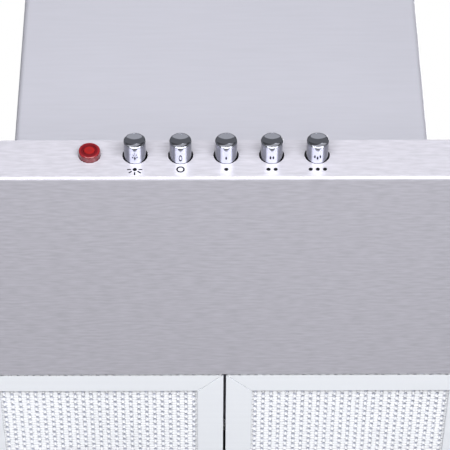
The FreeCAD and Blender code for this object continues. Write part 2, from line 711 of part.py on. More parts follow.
def volute(wall):
    """Outline of the scroll, inset by a wall: four quarter arcs that grow by one step each."""
    step = size("scroll_step")
    centres = ((step, step), (step, -step), (-step, -step), (-step, step))
    points = []
    for number, (dy, dz) in enumerate(centres):
        centre = Vector(0, size("axle_y") + dy / 2, size("axle_z") + dz / 2)
        radius = size("scroll_radius") - wall + number * step
        first = number * 90 if number else size("tongue_angle")
        last = (number + 1) * 90
        for angle in (first, (first + last) / 2, last):
            turn = math.radians(angle)
            points.append(centre + Vector(0, -math.cos(turn), math.sin(turn)) * radius)
    edges = [Part.Arc(*points[n:n + 3]).toShape() for n in range(0, len(points), 3)]
    top = size("scroll_top") + (1 if wall else 0)
    front = Vector(0, points[-1].y, top)
    rear = Vector(0, points[0].y, top)
    for start, end in ((points[-1], front), (front, rear), (rear, points[0])):
        edges.append(Part.makeLine(start, end))
    return Part.Face(Part.Wire(edges))


def scroll_half(side):
    """One half of the fan scroll: side wall with its inlet, half of the wrap, and a lug."""
    half, wall = size("scroll_side"), size("scroll_wall")
    sign = -1 if side == "left" else 1
    outer = volute(0).extrude(Vector(sign * half, 0, 0))
    inner = volute(wall).extrude(Vector(sign * (half - wall), 0, 0))
    axis = Vector(0, size("axle_y"), size("axle_z"))
    inlet = Part.makeCylinder(size("inlet_radius"), half + 1, axis, Vector(sign, 0, 0))
    shape = outer.cut(inner).cut(inlet)
    lug_y = size("axle_y") + size("scroll_radius") + 1.5 * size("scroll_step")
    length, height = size("lug_length"), size("lug_height")
    lug = Part.makeBox(
        length, size("scroll_lug") + wall, height,
        Vector(0 if sign > 0 else -length, lug_y - wall, size("axle_z") - height / 2),
    )
    hole = Part.makeCylinder(
        size("screw_radius"), 2 * length + 2,
        Vector(-length - 1, lug_y + size("scroll_lug") / 2, size("axle_z")), Vector(1, 0, 0),
    )
    half_scroll = doc.addObject("Part::Feature", f"scroll_{side}_shape")
    half_scroll.Shape = shape.fuse(lug).removeSplitter().cut(hole)
    node(half_scroll, f"scroll_{side}")


def scroll_screw():
    """Long screw that clamps the two halves at their lugs."""
    lug_y = "axle_y + 1.5 * scroll_step + scroll_radius + scroll_lug / 2"
    node(screw("scroll_lug_screw", "x", (lug_y, "axle_z"), "-lug_length", 1,
               "2 * lug_length"), "scroll_screw")


def impeller():
    """Double-inlet squirrel cage: middle disc, hub, slanted blades and two end rings."""
    body = new_body("impeller_body")
    half = "impeller_width / 2"
    disc = sketch_on(body, "disc_plan", "YZ_Plane", "-impeller_sheet / 2")
    circle(disc, ("0", "0"), "impeller_radius")
    circle(disc, ("0", "0"), "shaft_radius")
    padded(body, "disc", disc, "impeller_sheet")
    hub = sketch_on(body, "hub_plan", "YZ_Plane", "-hub_length + impeller_sheet / 2")
    circle(hub, ("0", "0"), "hub_radius")
    circle(hub, ("0", "0"), "shaft_radius")
    padded(body, "hub", hub, "hub_length")
    blade = sketch_on(body, "blade_plan", "YZ_Plane", f"-{half}")
    outer, inner = "impeller_radius - blade_inset", "impeller_radius - blade_depth"
    outline(blade, (
        (outer, "0"), (outer, "blade_thick"),
        (inner, "blade_lean + blade_thick"), (inner, "blade_lean"),
    ))
    pad = padded(body, "blade", blade, "impeller_width")
    ring_pattern = body.newObject("PartDesign::PolarPattern", "blades")
    ring_pattern.Originals = [pad]
    ring_pattern.Axis = (body_plane(body, "X_Axis"), [""])
    ring_pattern.Angle = 360
    bind(ring_pattern, "Occurrences", "blade_count")
    body.Tip = ring_pattern
    doc.recompute()
    for name, start in (("left", f"-{half}"), ("right", f"{half} - 2 * impeller_sheet")):
        ring = sketch_on(body, f"ring_{name}_plan", "YZ_Plane", start)
        circle(ring, ("0", "0"), "impeller_radius")
        circle(ring, ("0", "0"), "impeller_radius - blade_depth")
        padded(body, f"ring_{name}", ring, "2 * impeller_sheet")
    bind(body, ".Placement.Base.y", "axle_y")
    bind(body, ".Placement.Base.z", "axle_z")
    node(body, "impeller")


def motor():
    """Motor can with its running bore, its shaft, and the three-armed bracket."""
    place = ("axle_y", "axle_z")
    node(tube("motor_can", "x", place, "motor_radius", "shaft_radius + running_gap",
              "motor_offset", "motor_end"), "motor_body")
    node(rod("shaft_rod", "x", place, "shaft_radius", "-hub_length", "shaft_end"), "motor_shaft")
    start, end = "scroll_side", "scroll_side + arm_thick"
    ring = tube("bracket_ring", "x", place, "motor_radius + arm_reach", "motor_radius",
                start, end)
    arms = []
    for number in range(3):
        arm = doc.addObject("Part::Box", f"bracket_arm_{number}")
        angle = 90 + 120 * number
        bind(arm, "Length", "arm_thick")
        bind(arm, "Width", "inlet_radius + arm_reach - motor_radius - arm_start")
        bind(arm, "Height", "arm_width")
        arm.Placement = Placement(Vector(), Rotation(Vector(1, 0, 0), angle))
        along, across = f"cos({angle} * 1deg)", f"sin({angle} * 1deg)"
        bind(arm, ".Placement.Base.x", start)
        bind(arm, ".Placement.Base.y",
             f"axle_y + (motor_radius + arm_start) * {along} + arm_width / 2 * {across}")
        bind(arm, ".Placement.Base.z",
             f"axle_z + (motor_radius + arm_start) * {across} - arm_width / 2 * {along}")
        arms.append(arm)
    node(joined("motor_bracket_star", ring, *arms), "motor_bracket")


# ---- outlet -------------------------------------------------------------------------------

def knuckles(name, starts):
    """Hinge knuckles that run on the flap pin."""
    return [rod(f"{name}_knuckle_{n}", "x", ("collar_y", "flap_z"), "knuckle_radius",
                start, f"{start} + knuckle_length") for n, start in enumerate(starts)]


def outlet():
    """Spigot for a 120 mm duct, with two half-round flaps on one pin."""
    place = ("0", "collar_y")
    pipe = rod("collar_pipe", "z", place, "collar_radius", "housing_top",
               "housing_top + collar_length")
    flange = box("collar_plate",
                 ("-collar_radius - collar_margin", "collar_radius + collar_margin"),
                 ("collar_y - collar_radius - collar_margin / 2",
                  "collar_y + collar_radius + collar_flange"),
                 ("housing_top", "housing_top + 2 * sheet"))
    bore = rod("collar_bore_tool", "z", place, "collar_bore", "housing_top - 1",
               "housing_top + collar_length + 1")
    pin_hole = rod("collar_pin_hole", "x", ("collar_y", "flap_z"), "pin_radius",
                   "-collar_radius - 3", "collar_radius + 3")
    node(minus("collar_cut", joined("collar_solid", pipe, flange), bore, pin_hole),
         "outlet_collar")
    node(rod("pin_rod", "x", ("collar_y", "flap_z"), "pin_radius", "-collar_radius",
             "collar_radius"), "flap_pin")
    pitch = "(knuckle_length + knuckle_gap)"
    layout = {"front": (-2, 1), "rear": (-1, 0)}
    for name, slots in layout.items():
        disc = rod(f"flap_{name}_disc", "z", place, "flap_radius", "flap_z - flap_thick / 2",
                   "flap_z + flap_thick / 2")
        if name == "front":
            half = box("flap_front_half", ("-flap_radius", "flap_radius"),
                       ("collar_y - flap_radius", "collar_y - knuckle_radius - notch_gap"),
                       ("flap_z - 2", "flap_z + 2"))
            bridge_y = ("collar_y - knuckle_radius - notch_gap - bridge_lap", "collar_y")
        else:
            half = box("flap_rear_half", ("-flap_radius", "flap_radius"),
                       ("collar_y + knuckle_radius + notch_gap", "collar_y + flap_radius"),
                       ("flap_z - 2", "flap_z + 2"))
            bridge_y = ("collar_y", "collar_y + knuckle_radius + notch_gap + bridge_lap")
        leaf = doc.addObject("Part::Common", f"flap_{name}_leaf")
        leaf.Base, leaf.Tool = disc, half
        starts = [f"{slot} * {pitch} + knuckle_gap / 2" for slot in slots]
        bridges = [box(f"flap_{name}_bridge_{n}", (start, f"{start} + knuckle_length"), bridge_y,
                       ("flap_z - flap_thick / 2", "flap_z + flap_thick / 2"))
                   for n, start in enumerate(starts)]
        solid = joined(f"flap_{name}_solid", leaf, *bridges, *knuckles(f"flap_{name}", starts))
        bore_tool = rod(f"flap_{name}_bore", "x", ("collar_y", "flap_z"),
                        "pin_radius + running_gap", "-flap_radius", "flap_radius")
        node(minus(f"flap_{name}_cut", solid, bore_tool), f"flap_{name}")


# ---- duct covers and brackets -------------------------------------------------------------

TAB_SHARES = ("0.3", "0.75")


def duct_cover(name, side, front, rear, bottom, top, tabs):
    """Cover folded in a C from one sheet, open to the wall, with returns along its rear."""
    face_y, wall = size(front), size("sheet")
    body = folded_block(
        name, (f"-({side})", side), (front, rear), (bottom, top),
        lambda m, run: near(m.y, face_y) and abs(run.z) > 1, "cover_radius",
    )
    inside = folded_block(
        f"{name}_inside", (f"-({side}) + sheet", f"{side} - sheet"),
        (f"{front} + sheet", f"{rear} + 1"), (f"{bottom} - 1", f"{top} + 1"),
        lambda m, run: near(m.y, face_y + wall) and abs(run.z) > 1, "cover_radius - sheet",
    )
    hollowed(body, f"{name}_sheet", inside)
    returns = sketch_on(body, f"{name}_returns_plan", "XY_Plane", bottom)
    for side_name in SIDES:
        low, high = span(side_name, f"{side} - cover_return", side)
        rectangle(returns, low, high, f"{rear} - sheet", rear)
    padded(body, f"{name}_returns", returns, f"({top}) - ({bottom})")
    if tabs:
        feet = sketch_on(body, f"{name}_tabs_plan", "XY_Plane", bottom)
        for side_name in SIDES:
            low, high = span(side_name, f"{side} - cover_return", side)
            for place in TAB_SHARES:
                middle = f"-cover_depth * {place}"
                rectangle(feet, low, high, f"{middle} - tab_length / 2",
                          f"{middle} + tab_length / 2")
        padded(body, f"{name}_tabs", feet, "sheet")
        holes = sketch_on(body, f"{name}_hole_plan", "XY_Plane", f"{bottom} + 2 * sheet")
        for place in cover_screw_places():
            circle(holes, place, "screw_radius")
        pocketed(body, f"{name}_holes", holes, "3 * sheet", False)
    else:
        holes = sketch_on(body, f"{name}_hole_plan", "YZ_Plane", f"-({side}) - 1")
        circle(holes, top_screw_place(), "screw_radius")
        pocketed(body, f"{name}_holes", holes, f"2 * ({side}) + 2", True)
    return node(body, name)


def cover_screw_places():
    places = []
    for sign in SIDES.values():
        for place in TAB_SHARES:
            places.append((f"{sign}(cover_side - sheet - cover_return / 2)",
                           f"-cover_depth * {place}"))
    return places


def cover_screws():
    pieces = [screw(f"cover_screw_{n}", "z", place, "canopy_height + sheet", -1)
              for n, place in enumerate(cover_screw_places())]
    node(grouped("cover_screw_set", *pieces), "cover_screws")


def wall_bracket():
    """Plate screwed to the wall, with two hooks that carry the blower housing."""
    plate = box("bracket_plate", ("-bracket_width / 2", "bracket_width / 2"),
                ("-housing_back", "0"),
                ("bracket_level - bracket_height / 2", "bracket_level + bracket_height / 2"))
    hooks = []
    for side in SIDES:
        low, high = span(side, "bracket_hole_spacing / 4 - hook_width / 2",
                         "bracket_hole_spacing / 4 + hook_width / 2")
        hooks.append(box(f"hook_arm_{side}", (low, high),
                         ("-housing_back - hook_reach", "-housing_back / 2"),
                         ("bracket_level", "bracket_level + bracket_sheet")))
        hooks.append(box(f"hook_tip_{side}", (low, high),
                         ("-housing_back - hook_reach", "-housing_back - hook_reach + bracket_sheet"),
                         ("bracket_level", "bracket_level + hook_rise")))
    holes = [rod(f"bracket_hole_{side}", "y", (f"{sign}bracket_hole_spacing / 2", "bracket_level"),
                 "bracket_hole", "-housing_back - 1", "1") for side, sign in SIDES.items()]
    node(minus("wall_bracket_cut", joined("wall_bracket_sheet", plate, *hooks), *holes),
         "wall_bracket")


def chimney_bracket():
    """Joggled strap on the wall at the top of the upper cover, with an ear for each side."""
    low, high = top_bracket_span()
    ear_out = "upper_side - sheet"
    arm_out = "upper_side - cover_return - notch_gap"
    step = ("upper_rear - sheet - top_bracket_step - bracket_sheet",
            "upper_rear - sheet - top_bracket_step")
    pieces = [box("top_plate", (f"-({arm_out})", arm_out), ("-bracket_sheet", "0"), (low, high))]
    for side in SIDES:
        pieces.append(box(f"top_arm_{side}", span(side, f"{arm_out} - bracket_sheet", arm_out),
                          (step[0], "0"), (low, high)))
        pieces.append(box(f"top_step_{side}", span(side, f"{arm_out} - bracket_sheet", ear_out),
                          step, (low, high)))
        pieces.append(box(f"top_ear_{side}", span(side, f"{ear_out} - bracket_sheet", ear_out),
                          (f"{step[1]} - ear_length", step[1]), (low, high)))
    middle = f"({low} + {high}) / 2"
    holes = [rod(f"top_hole_{side}", "y", (f"{sign}top_bracket_spacing / 2", middle),
                 "bracket_hole", "-bracket_sheet - 1", "1") for side, sign in SIDES.items()]
    holes.append(rod("ear_holes", "x", top_screw_place(), "screw_radius",
                     "-upper_side", "upper_side"))
    node(minus("chimney_bracket_cut", joined("chimney_bracket_sheet", *pieces), *holes),
         "chimney_bracket")


def top_bracket_span():
    return "upper_top - top_bracket_level - top_bracket_height", "upper_top - top_bracket_level"


def top_screw_place():
    """Y and Z of the screws that hold the upper cover to its bracket."""
    low, high = top_bracket_span()
    return "upper_rear - sheet - top_bracket_step - ear_length * 0.6", f"({low} + {high}) / 2"


def bracket_screws():
    pieces = [screw("bracket_screw_left", "x", top_screw_place(), "-upper_side", 1),
              screw("bracket_screw_right", "x", top_screw_place(), "upper_side", -1)]
    node(grouped("bracket_screw_pair", *pieces), "bracket_screws")


# ---- electrical parts ---------------------------------------------------------------------

def electrical_box():
    """Box on the canopy floor with its lid, terminal block and motor capacitor."""
    x = ("control_x", "control_x + control_width")
    y = ("control_y", "control_y + control_length")
    wall, floor = "control_wall", "sheet + control_wall"
    block = box("control_block", x, y, ("sheet", "control_top - control_wall"))
    hollow = box("control_hollow", (f"{x[0]} + {wall}", f"{x[1]} - {wall}"),
                 (f"{y[0]} + {wall}", f"{y[1]} - {wall}"), (floor, "control_top"))
    gate_y = f"{y[0]} + terminal_front"
    gate = box("control_gate", (f"{x[1]} - 2 * {wall}", f"{x[1]} + 1"),
               (gate_y, f"{gate_y} + gate_length"), ("sheet + gate_floor", "control_top"))
    node(minus("control_box_cut", block, hollow, gate), "control_box")
    node(box("control_lid_plate", x, y, ("control_top - control_wall", "control_top")),
         "control_box_lid")
    left, front = "control_x + terminal_left", "control_y + terminal_front"
    rear = f"{front} + terminal_length"
    body = box("terminal_solid", (left, f"{left} + terminal_width"), (front, rear),
               (floor, f"{floor} + terminal_height"))
    ways = [rod(f"terminal_way_{n}", "y",
                (f"{left} + terminal_width * {n + 0.5} / 4", f"{floor} + way_height"),
                "way_radius", f"{front} - 1", f"{rear} + 1") for n in range(4)]
    node(minus("terminal_cut", body, *ways), "terminal_block")
    start = "control_x + capacitor_left"
    node(rod("capacitor_can", "x",
             ("control_y + capacitor_front", f"{floor} + capacitor_radius"),
             "capacitor_radius", start, f"{start} + capacitor_length"), "capacitor")


def cable_gland():
    """Gland with a six-sided nut through the top of the blower housing."""
    place = ("housing_side - gland_inset", "-gland_inset")
    barrel = rod("gland_barrel", "z", place, "gland_radius",
                 "housing_top - gland_inside",
                 "housing_top + gland_height")
    collar = doc.addObject("Part::Prism", "gland_collar")
    collar.Polygon = 6
    bind(collar, "Circumradius", "gland_nut")
    bind(collar, "Height", "nut_height")
    bind(collar, ".Placement.Base.x", place[0])
    bind(collar, ".Placement.Base.y", place[1])
    bind(collar, ".Placement.Base.z", "housing_top")
    bore = rod("gland_bore_tool", "z", place, "gland_bore",
               "housing_top - gland_inside - 1",
               "housing_top + gland_height + 1")
    node(minus("gland_cut", joined("gland_solid", barrel, collar), bore), "cable_gland")


def lamp(side):
    """Round lamp: bezel under the sheet, glass, housing cup and lamp board above it."""
    place = (f"{SIDES[side]}lamp_offset", "lamp_y")
    ring = rod(f"{side}_bezel_ring", "z", place, "bezel_radius", "-bezel_thick", "0")
    spigot = rod(f"{side}_bezel_spigot", "z", place, "lamp_hole - fit_gap",
                 "-bezel_thick", "spigot_height")
    bore = rod(f"{side}_bezel_bore", "z", place, "lamp_lens_radius", "-bezel_thick - 1",
               "spigot_height + 1")
    node(minus(f"{side}_bezel", joined(f"{side}_bezel_solid", ring, spigot), bore),
         f"lamp_bezel_{side}")
    node(rod(f"{side}_lens_disc", "z", place, "lamp_lens_radius", "glass_recess - bezel_thick",
             "glass_top"),
         f"lamp_glass_{side}")
    can = rod(f"{side}_lamp_can", "z", place, "bezel_radius - can_inset", "sheet",
              "lamp_top")
    room = rod(f"{side}_lamp_room", "z", place, "lamp_hole + fit_gap", "0",
               "lamp_top - lamp_wall")
    node(minus(f"{side}_lamp_cup", can, room), f"lamp_housing_{side}")
    node(rod(f"{side}_board_disc", "z", place, "board_radius",
             "lamp_top - lamp_wall - board_thick", "lamp_top - lamp_wall"),
         f"lamp_board_{side}")


def main():
    fill_sheet()
    canopy_shell()
    canopy_top_panel()
    for index, name in enumerate(BUTTONS):
        push_button(index, name)
    pilot_light()
    switch_block()
    switch_bracket()
    switch_screws()
    for side in SIDES:
        grease_filter(side)
        lamp(side)
    blower_housing()
    blower_screws()
    for side in SIDES:
        scroll_half(side)
    scroll_screw()
    impeller()
    motor()
    outlet()
    duct_cover("duct_cover_lower", "cover_side", "cover_front", "-cover_back",
               "canopy_height", "cover_top", True)
    duct_cover("duct_cover_upper", "upper_side", "upper_front", "upper_rear",
               "upper_bottom", "upper_top", False)
    cover_screws()
    wall_bracket()
    chimney_bracket()
    bracket_screws()
    electrical_box()
    cable_gland()
    doc.recompute()
    check_document()
    write_parts()


def check_document():
    """Stop if any object failed or a sub-part has no valid solid."""
    for obj in doc.Objects:
        if "Invalid" in obj.State or "Error" in obj.State:
            raise RuntimeError(f"{obj.Label} did not compute: {obj.State}")
    for piece in NODES:
        if piece.Shape.isNull() or not piece.Shape.isValid() or not piece.Shape.Solids:
            raise RuntimeError(f"{piece.Label} has no valid solid")


def write_parts():
    os.makedirs("parts", exist_ok=True)
    for piece in NODES:
        piece.Shape.exportStep(f"parts/{piece.Label}.step")
        print(f"{piece.Label:26s} {len(piece.Shape.Solids)} solid(s) {piece.Shape.Volume:12.1f} mm3")


main()
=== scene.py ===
"""Looks of the chimney range hood: finishes, fine detail, studio and camera."""
import json
import math

import bmesh
import bpy
from mathutils import Matrix, Vector

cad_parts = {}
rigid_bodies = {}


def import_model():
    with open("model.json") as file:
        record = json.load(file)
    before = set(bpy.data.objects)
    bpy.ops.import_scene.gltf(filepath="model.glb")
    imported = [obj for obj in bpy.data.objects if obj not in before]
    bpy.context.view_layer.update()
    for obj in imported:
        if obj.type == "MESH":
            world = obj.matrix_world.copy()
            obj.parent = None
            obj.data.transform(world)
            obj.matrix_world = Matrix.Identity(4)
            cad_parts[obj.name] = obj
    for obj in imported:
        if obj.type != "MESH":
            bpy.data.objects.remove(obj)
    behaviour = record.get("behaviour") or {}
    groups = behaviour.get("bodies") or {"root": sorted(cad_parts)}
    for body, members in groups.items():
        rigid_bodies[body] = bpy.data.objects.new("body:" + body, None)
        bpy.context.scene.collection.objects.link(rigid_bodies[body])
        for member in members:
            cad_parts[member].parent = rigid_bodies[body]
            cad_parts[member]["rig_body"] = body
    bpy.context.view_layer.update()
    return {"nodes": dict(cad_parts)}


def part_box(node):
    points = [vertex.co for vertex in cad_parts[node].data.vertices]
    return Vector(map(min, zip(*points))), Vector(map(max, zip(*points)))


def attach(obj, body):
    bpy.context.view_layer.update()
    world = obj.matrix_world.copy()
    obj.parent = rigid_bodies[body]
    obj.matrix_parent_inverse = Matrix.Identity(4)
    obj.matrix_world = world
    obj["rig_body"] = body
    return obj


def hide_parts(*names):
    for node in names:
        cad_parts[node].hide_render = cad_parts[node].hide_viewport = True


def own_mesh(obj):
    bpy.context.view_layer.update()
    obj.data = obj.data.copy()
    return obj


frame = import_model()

MM = 0.001
NODES = frame["nodes"]
BUTTONS = ("light", "off", "low", "medium", "high")
SIDES = ("left", "right")
SHARP = math.radians(32)
WELD = 1e-7


def middle(node):
    """Centre of a CAD node's box."""
    low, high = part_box(node)
    return (low + high) / 2


# ---- shader groups: effects that several finishes share ----------------------------------

def group(name, inputs, outputs):
    """An empty node group with float or vector inputs and outputs."""
    tree = bpy.data.node_groups.new(name, "ShaderNodeTree")
    for label, kind, value in inputs:
        socket = tree.interface.new_socket(label, in_out="INPUT", socket_type=kind)
        socket.default_value = value
    for label in outputs:
        tree.interface.new_socket(label, in_out="OUTPUT", socket_type="NodeSocketFloat")
    return tree, tree.nodes.new("NodeGroupInput"), tree.nodes.new("NodeGroupOutput")


def brushed_lines():
    """Straight brushing: short flecks laid over a closer grain."""
    tree, start, end = group("brushed_lines", (
        ("Place", "NodeSocketVector", (0, 0, 0)),
        ("Stretch", "NodeSocketVector", (20, 1500, 1500)),
    ), ("Lines", "Flecks"))
    scaled = tree.nodes.new("ShaderNodeVectorMath")
    scaled.operation = "MULTIPLY"
    fine = tree.nodes.new("ShaderNodeTexNoise")
    fine.inputs["Scale"].default_value = 1.0
    fine.inputs["Detail"].default_value = 4
    fine.inputs["Roughness"].default_value = 0.65
    flecks = tree.nodes.new("ShaderNodeTexNoise")
    flecks.inputs["Scale"].default_value = 0.5
    flecks.inputs["Detail"].default_value = 5
    link = tree.links.new
    link(start.outputs["Place"], scaled.inputs[0])
    link(start.outputs["Stretch"], scaled.inputs[1])
    link(scaled.outputs[0], fine.inputs["Vector"])
    link(scaled.outputs[0], flecks.inputs["Vector"])
    link(fine.outputs["Fac"], end.inputs["Lines"])
    link(flecks.outputs["Fac"], end.inputs["Flecks"])
    return tree


def handling_marks():
    """Soft patches and specks that sheet and plastic pick up from hands and cloths."""
    tree, start, end = group("handling_marks", (
        ("Place", "NodeSocketVector", (0, 0, 0)),
        ("Patch size", "NodeSocketFloat", 9.0),
        ("Speck size", "NodeSocketFloat", 420.0),
    ), ("Patches", "Specks"))
    patches = tree.nodes.new("ShaderNodeTexNoise")
    patches.inputs["Detail"].default_value = 3
    patches.inputs["Distortion"].default_value = 0.6
    specks = tree.nodes.new("ShaderNodeTexNoise")
    specks.inputs["Detail"].default_value = 2
    link = tree.links.new
    for texture, size_name, out in (
        (patches, "Patch size", "Patches"), (specks, "Speck size", "Specks"),
    ):
        link(start.outputs["Place"], texture.inputs["Vector"])
        link(start.outputs[size_name], texture.inputs["Scale"])
        link(texture.outputs["Fac"], end.inputs[out])
    return tree


LINES = brushed_lines()
MARKS = handling_marks()


# ---- finishes -----------------------------------------------------------------------------

class Finish:
    """A Principled material with helpers that lay the shared effects into it."""

    def __init__(self, name, color, rough, metallic=0.0, **sockets):
        self.material = bpy.data.materials.new(name)
        self.material.use_nodes = True
        self.tree = self.material.node_tree
        self.shader = self.tree.nodes["Principled BSDF"]
        self.color, self.rough = color, rough
        self.shader.inputs["Base Color"].default_value = (*color, 1)
        self.shader.inputs["Roughness"].default_value = rough
        self.shader.inputs["Metallic"].default_value = metallic
        for label, value in sockets.items():
            self.shader.inputs[label.replace("_", " ")].default_value = value
        self.place = self.tree.nodes.new("ShaderNodeTexCoord").outputs["Object"]

    def node(self, kind, **settings):
        made = self.tree.nodes.new(kind)
        for label, value in settings.items():
            setattr(made, label, value)
        return made

    def effect(self, tree, **values):
        """Place a shared group, fed with Object coordinates."""
        made = self.node("ShaderNodeGroup", node_tree=tree)
        self.tree.links.new(self.place, made.inputs["Place"])
        for label, value in values.items():
            made.inputs[label.replace("_", " ")].default_value = value
        return made

    def spread(self, value, low, high, narrow=(0.3, 0.7)):
        """Map the middle of a mask to a range."""
        ramp = self.node("ShaderNodeMapRange")
        self.tree.links.new(value, ramp.inputs["Value"])
        ramp.inputs["From Min"].default_value = narrow[0]
        ramp.inputs["From Max"].default_value = narrow[1]
        ramp.inputs["To Min"].default_value = low
        ramp.inputs["To Max"].default_value = high
        return ramp.outputs[0]

    def mixed(self, one, other):
        """The product of two values."""
        product = self.node("ShaderNodeMath", operation="MULTIPLY")
        self.tree.links.new(one, product.inputs[0])
        self.tree.links.new(other, product.inputs[1])
        return product.outputs[0]

    def tint(self, value, low=0.9, high=1.06, narrow=(0.3, 0.7), other=None):
        """Lighten and darken the base colour by one mask, or by two."""
        factor = self.spread(value, low, high, narrow)
        if other is not None:
            factor = self.mixed(factor, other)
        scaled = self.node("ShaderNodeVectorMath", operation="SCALE")
        scaled.inputs[0].default_value = self.color
        self.tree.links.new(factor, scaled.inputs["Scale"])
        self.tree.links.new(scaled.outputs[0], self.shader.inputs["Base Color"])

    def gloss(self, value, change, narrow=(0.3, 0.7)):
        """Vary the roughness about its plain value."""
        rough = self.spread(value, self.rough - change, self.rough + change, narrow)
        self.tree.links.new(rough, self.shader.inputs["Roughness"])

    def relief(self, value, strength, depth):
        """Raise and sink the surface by a height mask."""
        bump = self.node("ShaderNodeBump")
        bump.inputs["Strength"].default_value = strength
        bump.inputs["Distance"].default_value = depth
        self.tree.links.new(value, bump.inputs["Height"])
        self.tree.links.new(bump.outputs["Normal"], self.shader.inputs["Normal"])


def brushed(name, color, rough, stretch, shade, relief, metallic=1.0):
    """Sheet brushed in one direction."""
    finish = Finish(name, color, rough, metallic)
    lines = finish.effect(LINES, Stretch=stretch)
    marks = finish.effect(MARKS, Patch_size=5.0)
    patch = finish.spread(marks.outputs["Patches"], 0.985, 1.015)
    finish.tint(lines.outputs["Flecks"], 1 - shade, 1 + shade, other=patch)
    finish.gloss(lines.outputs["Lines"], 0.06)
    finish.relief(lines.outputs["Lines"], relief, 0.02 * MM)
    return finish.material


def plain_metal(name, color, rough, shade=0.04, metallic=1.0):
    """Cast, drawn or plated metal with faint patches."""
    finish = Finish(name, color, rough, metallic)
    marks = finish.effect(MARKS)
    finish.tint(marks.outputs["Patches"], 1 - shade, 1 + shade)
    finish.gloss(marks.outputs["Specks"], rough * 0.2)
    return finish.material


def polished(name, color, rough, painted_edge_shade=0.45):
    """Bright plating whose colour is painted darker where the surface turns away from the view, a
    painted shade standing in for dark reflections, with faint patches.
    """
    finish = Finish(name, color, rough, 1.0)
    marks = finish.effect(MARKS)
    patch = finish.spread(marks.outputs["Patches"], 0.98, 1.02)
    # painted shade: the base colour darkens with the facing value, standing in for dark
    # surroundings reflected in the turned sides
    facing_shade = finish.node("ShaderNodeLayerWeight")
    finish.tint(facing_shade.outputs["Facing"], 1.0, painted_edge_shade, (0.38, 0.43), other=patch)
    finish.gloss(marks.outputs["Specks"], rough * 0.2)
    return finish.material


def moulded(name, color, rough, shade=0.08):
    """Injection moulded plastic with a fine spark-eroded grain."""
    finish = Finish(name, color, rough)
    marks = finish.effect(MARKS, Speck_size=1400.0)
    finish.tint(marks.outputs["Patches"], 1 - shade, 1 + shade)
    finish.gloss(marks.outputs["Patches"], rough * 0.15)
    finish.relief(marks.outputs["Specks"], 0.15, 0.05 * MM)
    return finish.material


def galvanised(name):
    """Zinc coated sheet: spangles of slightly different grey and gloss."""
    finish = Finish(name, (0.56, 0.58, 0.60), 0.42, 1.0)
    cells = finish.node("ShaderNodeTexVoronoi")
    cells.inputs["Scale"].default_value = 110
    finish.tree.links.new(finish.place, cells.inputs["Vector"])
    split = finish.node("ShaderNodeSeparateColor")
    finish.tree.links.new(cells.outputs["Color"], split.inputs[0])
    finish.tint(split.outputs[0], 0.86, 1.1, (0.0, 1.0))
    finish.gloss(split.outputs[1], 0.1, (0.0, 1.0))
    return finish.material


def clear_red(name, axis, reach):
    """Red acrylic with painted light in its colour: a painted glow bright in the middle, painted
    shade dark in the groove, and a painted highlight lighter towards the rim.
    """
    finish = Finish(name, (0.45, 0.015, 0.015), 0.08, Transmission_Weight=0.1, IOR=1.49,
                    Specular_IOR_Level=0.4, Coat_Weight=0.4, Coat_Roughness=0.04)
    from_axis = finish.node("ShaderNodeVectorMath", operation="SUBTRACT")
    from_axis.inputs[1].default_value = axis
    flat = finish.node("ShaderNodeVectorMath", operation="MULTIPLY")
    flat.inputs[1].default_value = (1, 0, 1)
    length = finish.node("ShaderNodeVectorMath", operation="LENGTH")
    link = finish.tree.links.new
    link(finish.place, from_axis.inputs[0])
    link(from_axis.outputs[0], flat.inputs[0])
    link(flat.outputs[0], length.inputs[0])
    # painted glow, shade and highlight: the colour follows the distance from the lens axis,
    # standing in for the lamp behind the lens and for reflections
    painted_glow_and_shade = finish.node("ShaderNodeValToRGB")
    core, side_wall = painted_glow_and_shade.color_ramp.elements
    core.color, side_wall.color = (0.19, 0.010, 0.012, 1), (0.12, 0.003, 0.007, 1)
    for place, color in (
        (0.40, (0.26, 0.008, 0.007, 1)), (0.52, (0.10, 0.003, 0.006, 1)),
        (0.80, (0.14, 0.005, 0.010, 1)), (0.90, (0.23, 0.014, 0.018, 1)),
    ):
        painted_glow_and_shade.color_ramp.elements.new(place).color = color
    link(finish.spread(length.outputs["Value"], 0, 1, (0, reach)), painted_glow_and_shade.inputs["Fac"])
    marks = finish.effect(MARKS, Patch_size=160.0)
    scaled = finish.node("ShaderNodeVectorMath", operation="SCALE")
    link(painted_glow_and_shade.outputs["Color"], scaled.inputs[0])
    link(finish.spread(marks.outputs["Patches"], 0.8, 1.2), scaled.inputs["Scale"])
    link(scaled.outputs[0], finish.shader.inputs["Base Color"])
    return finish.material


def frosted_glass(name):
    """Lamp glass, etched on its back."""
    finish = Finish(name, (0.95, 0.97, 0.98), 0.32, Transmission_Weight=0.9, IOR=1.5)
    marks = finish.effect(MARKS, Speck_size=900.0)
    finish.relief(marks.outputs["Specks"], 0.3, 0.05 * MM)
    finish.tint(marks.outputs["Patches"], 0.96, 1.02)
    return finish.material


def printed_ink(name):
    """Black pad-printed ink with slightly uneven cover."""
    finish = Finish(name, (0.004, 0.004, 0.005), 0.7, Specular_IOR_Level=0.1)
    marks = finish.effect(MARKS, Patch_size=900.0)
    finish.tint(marks.outputs["Patches"], 0.7, 1.5)
    return finish.material


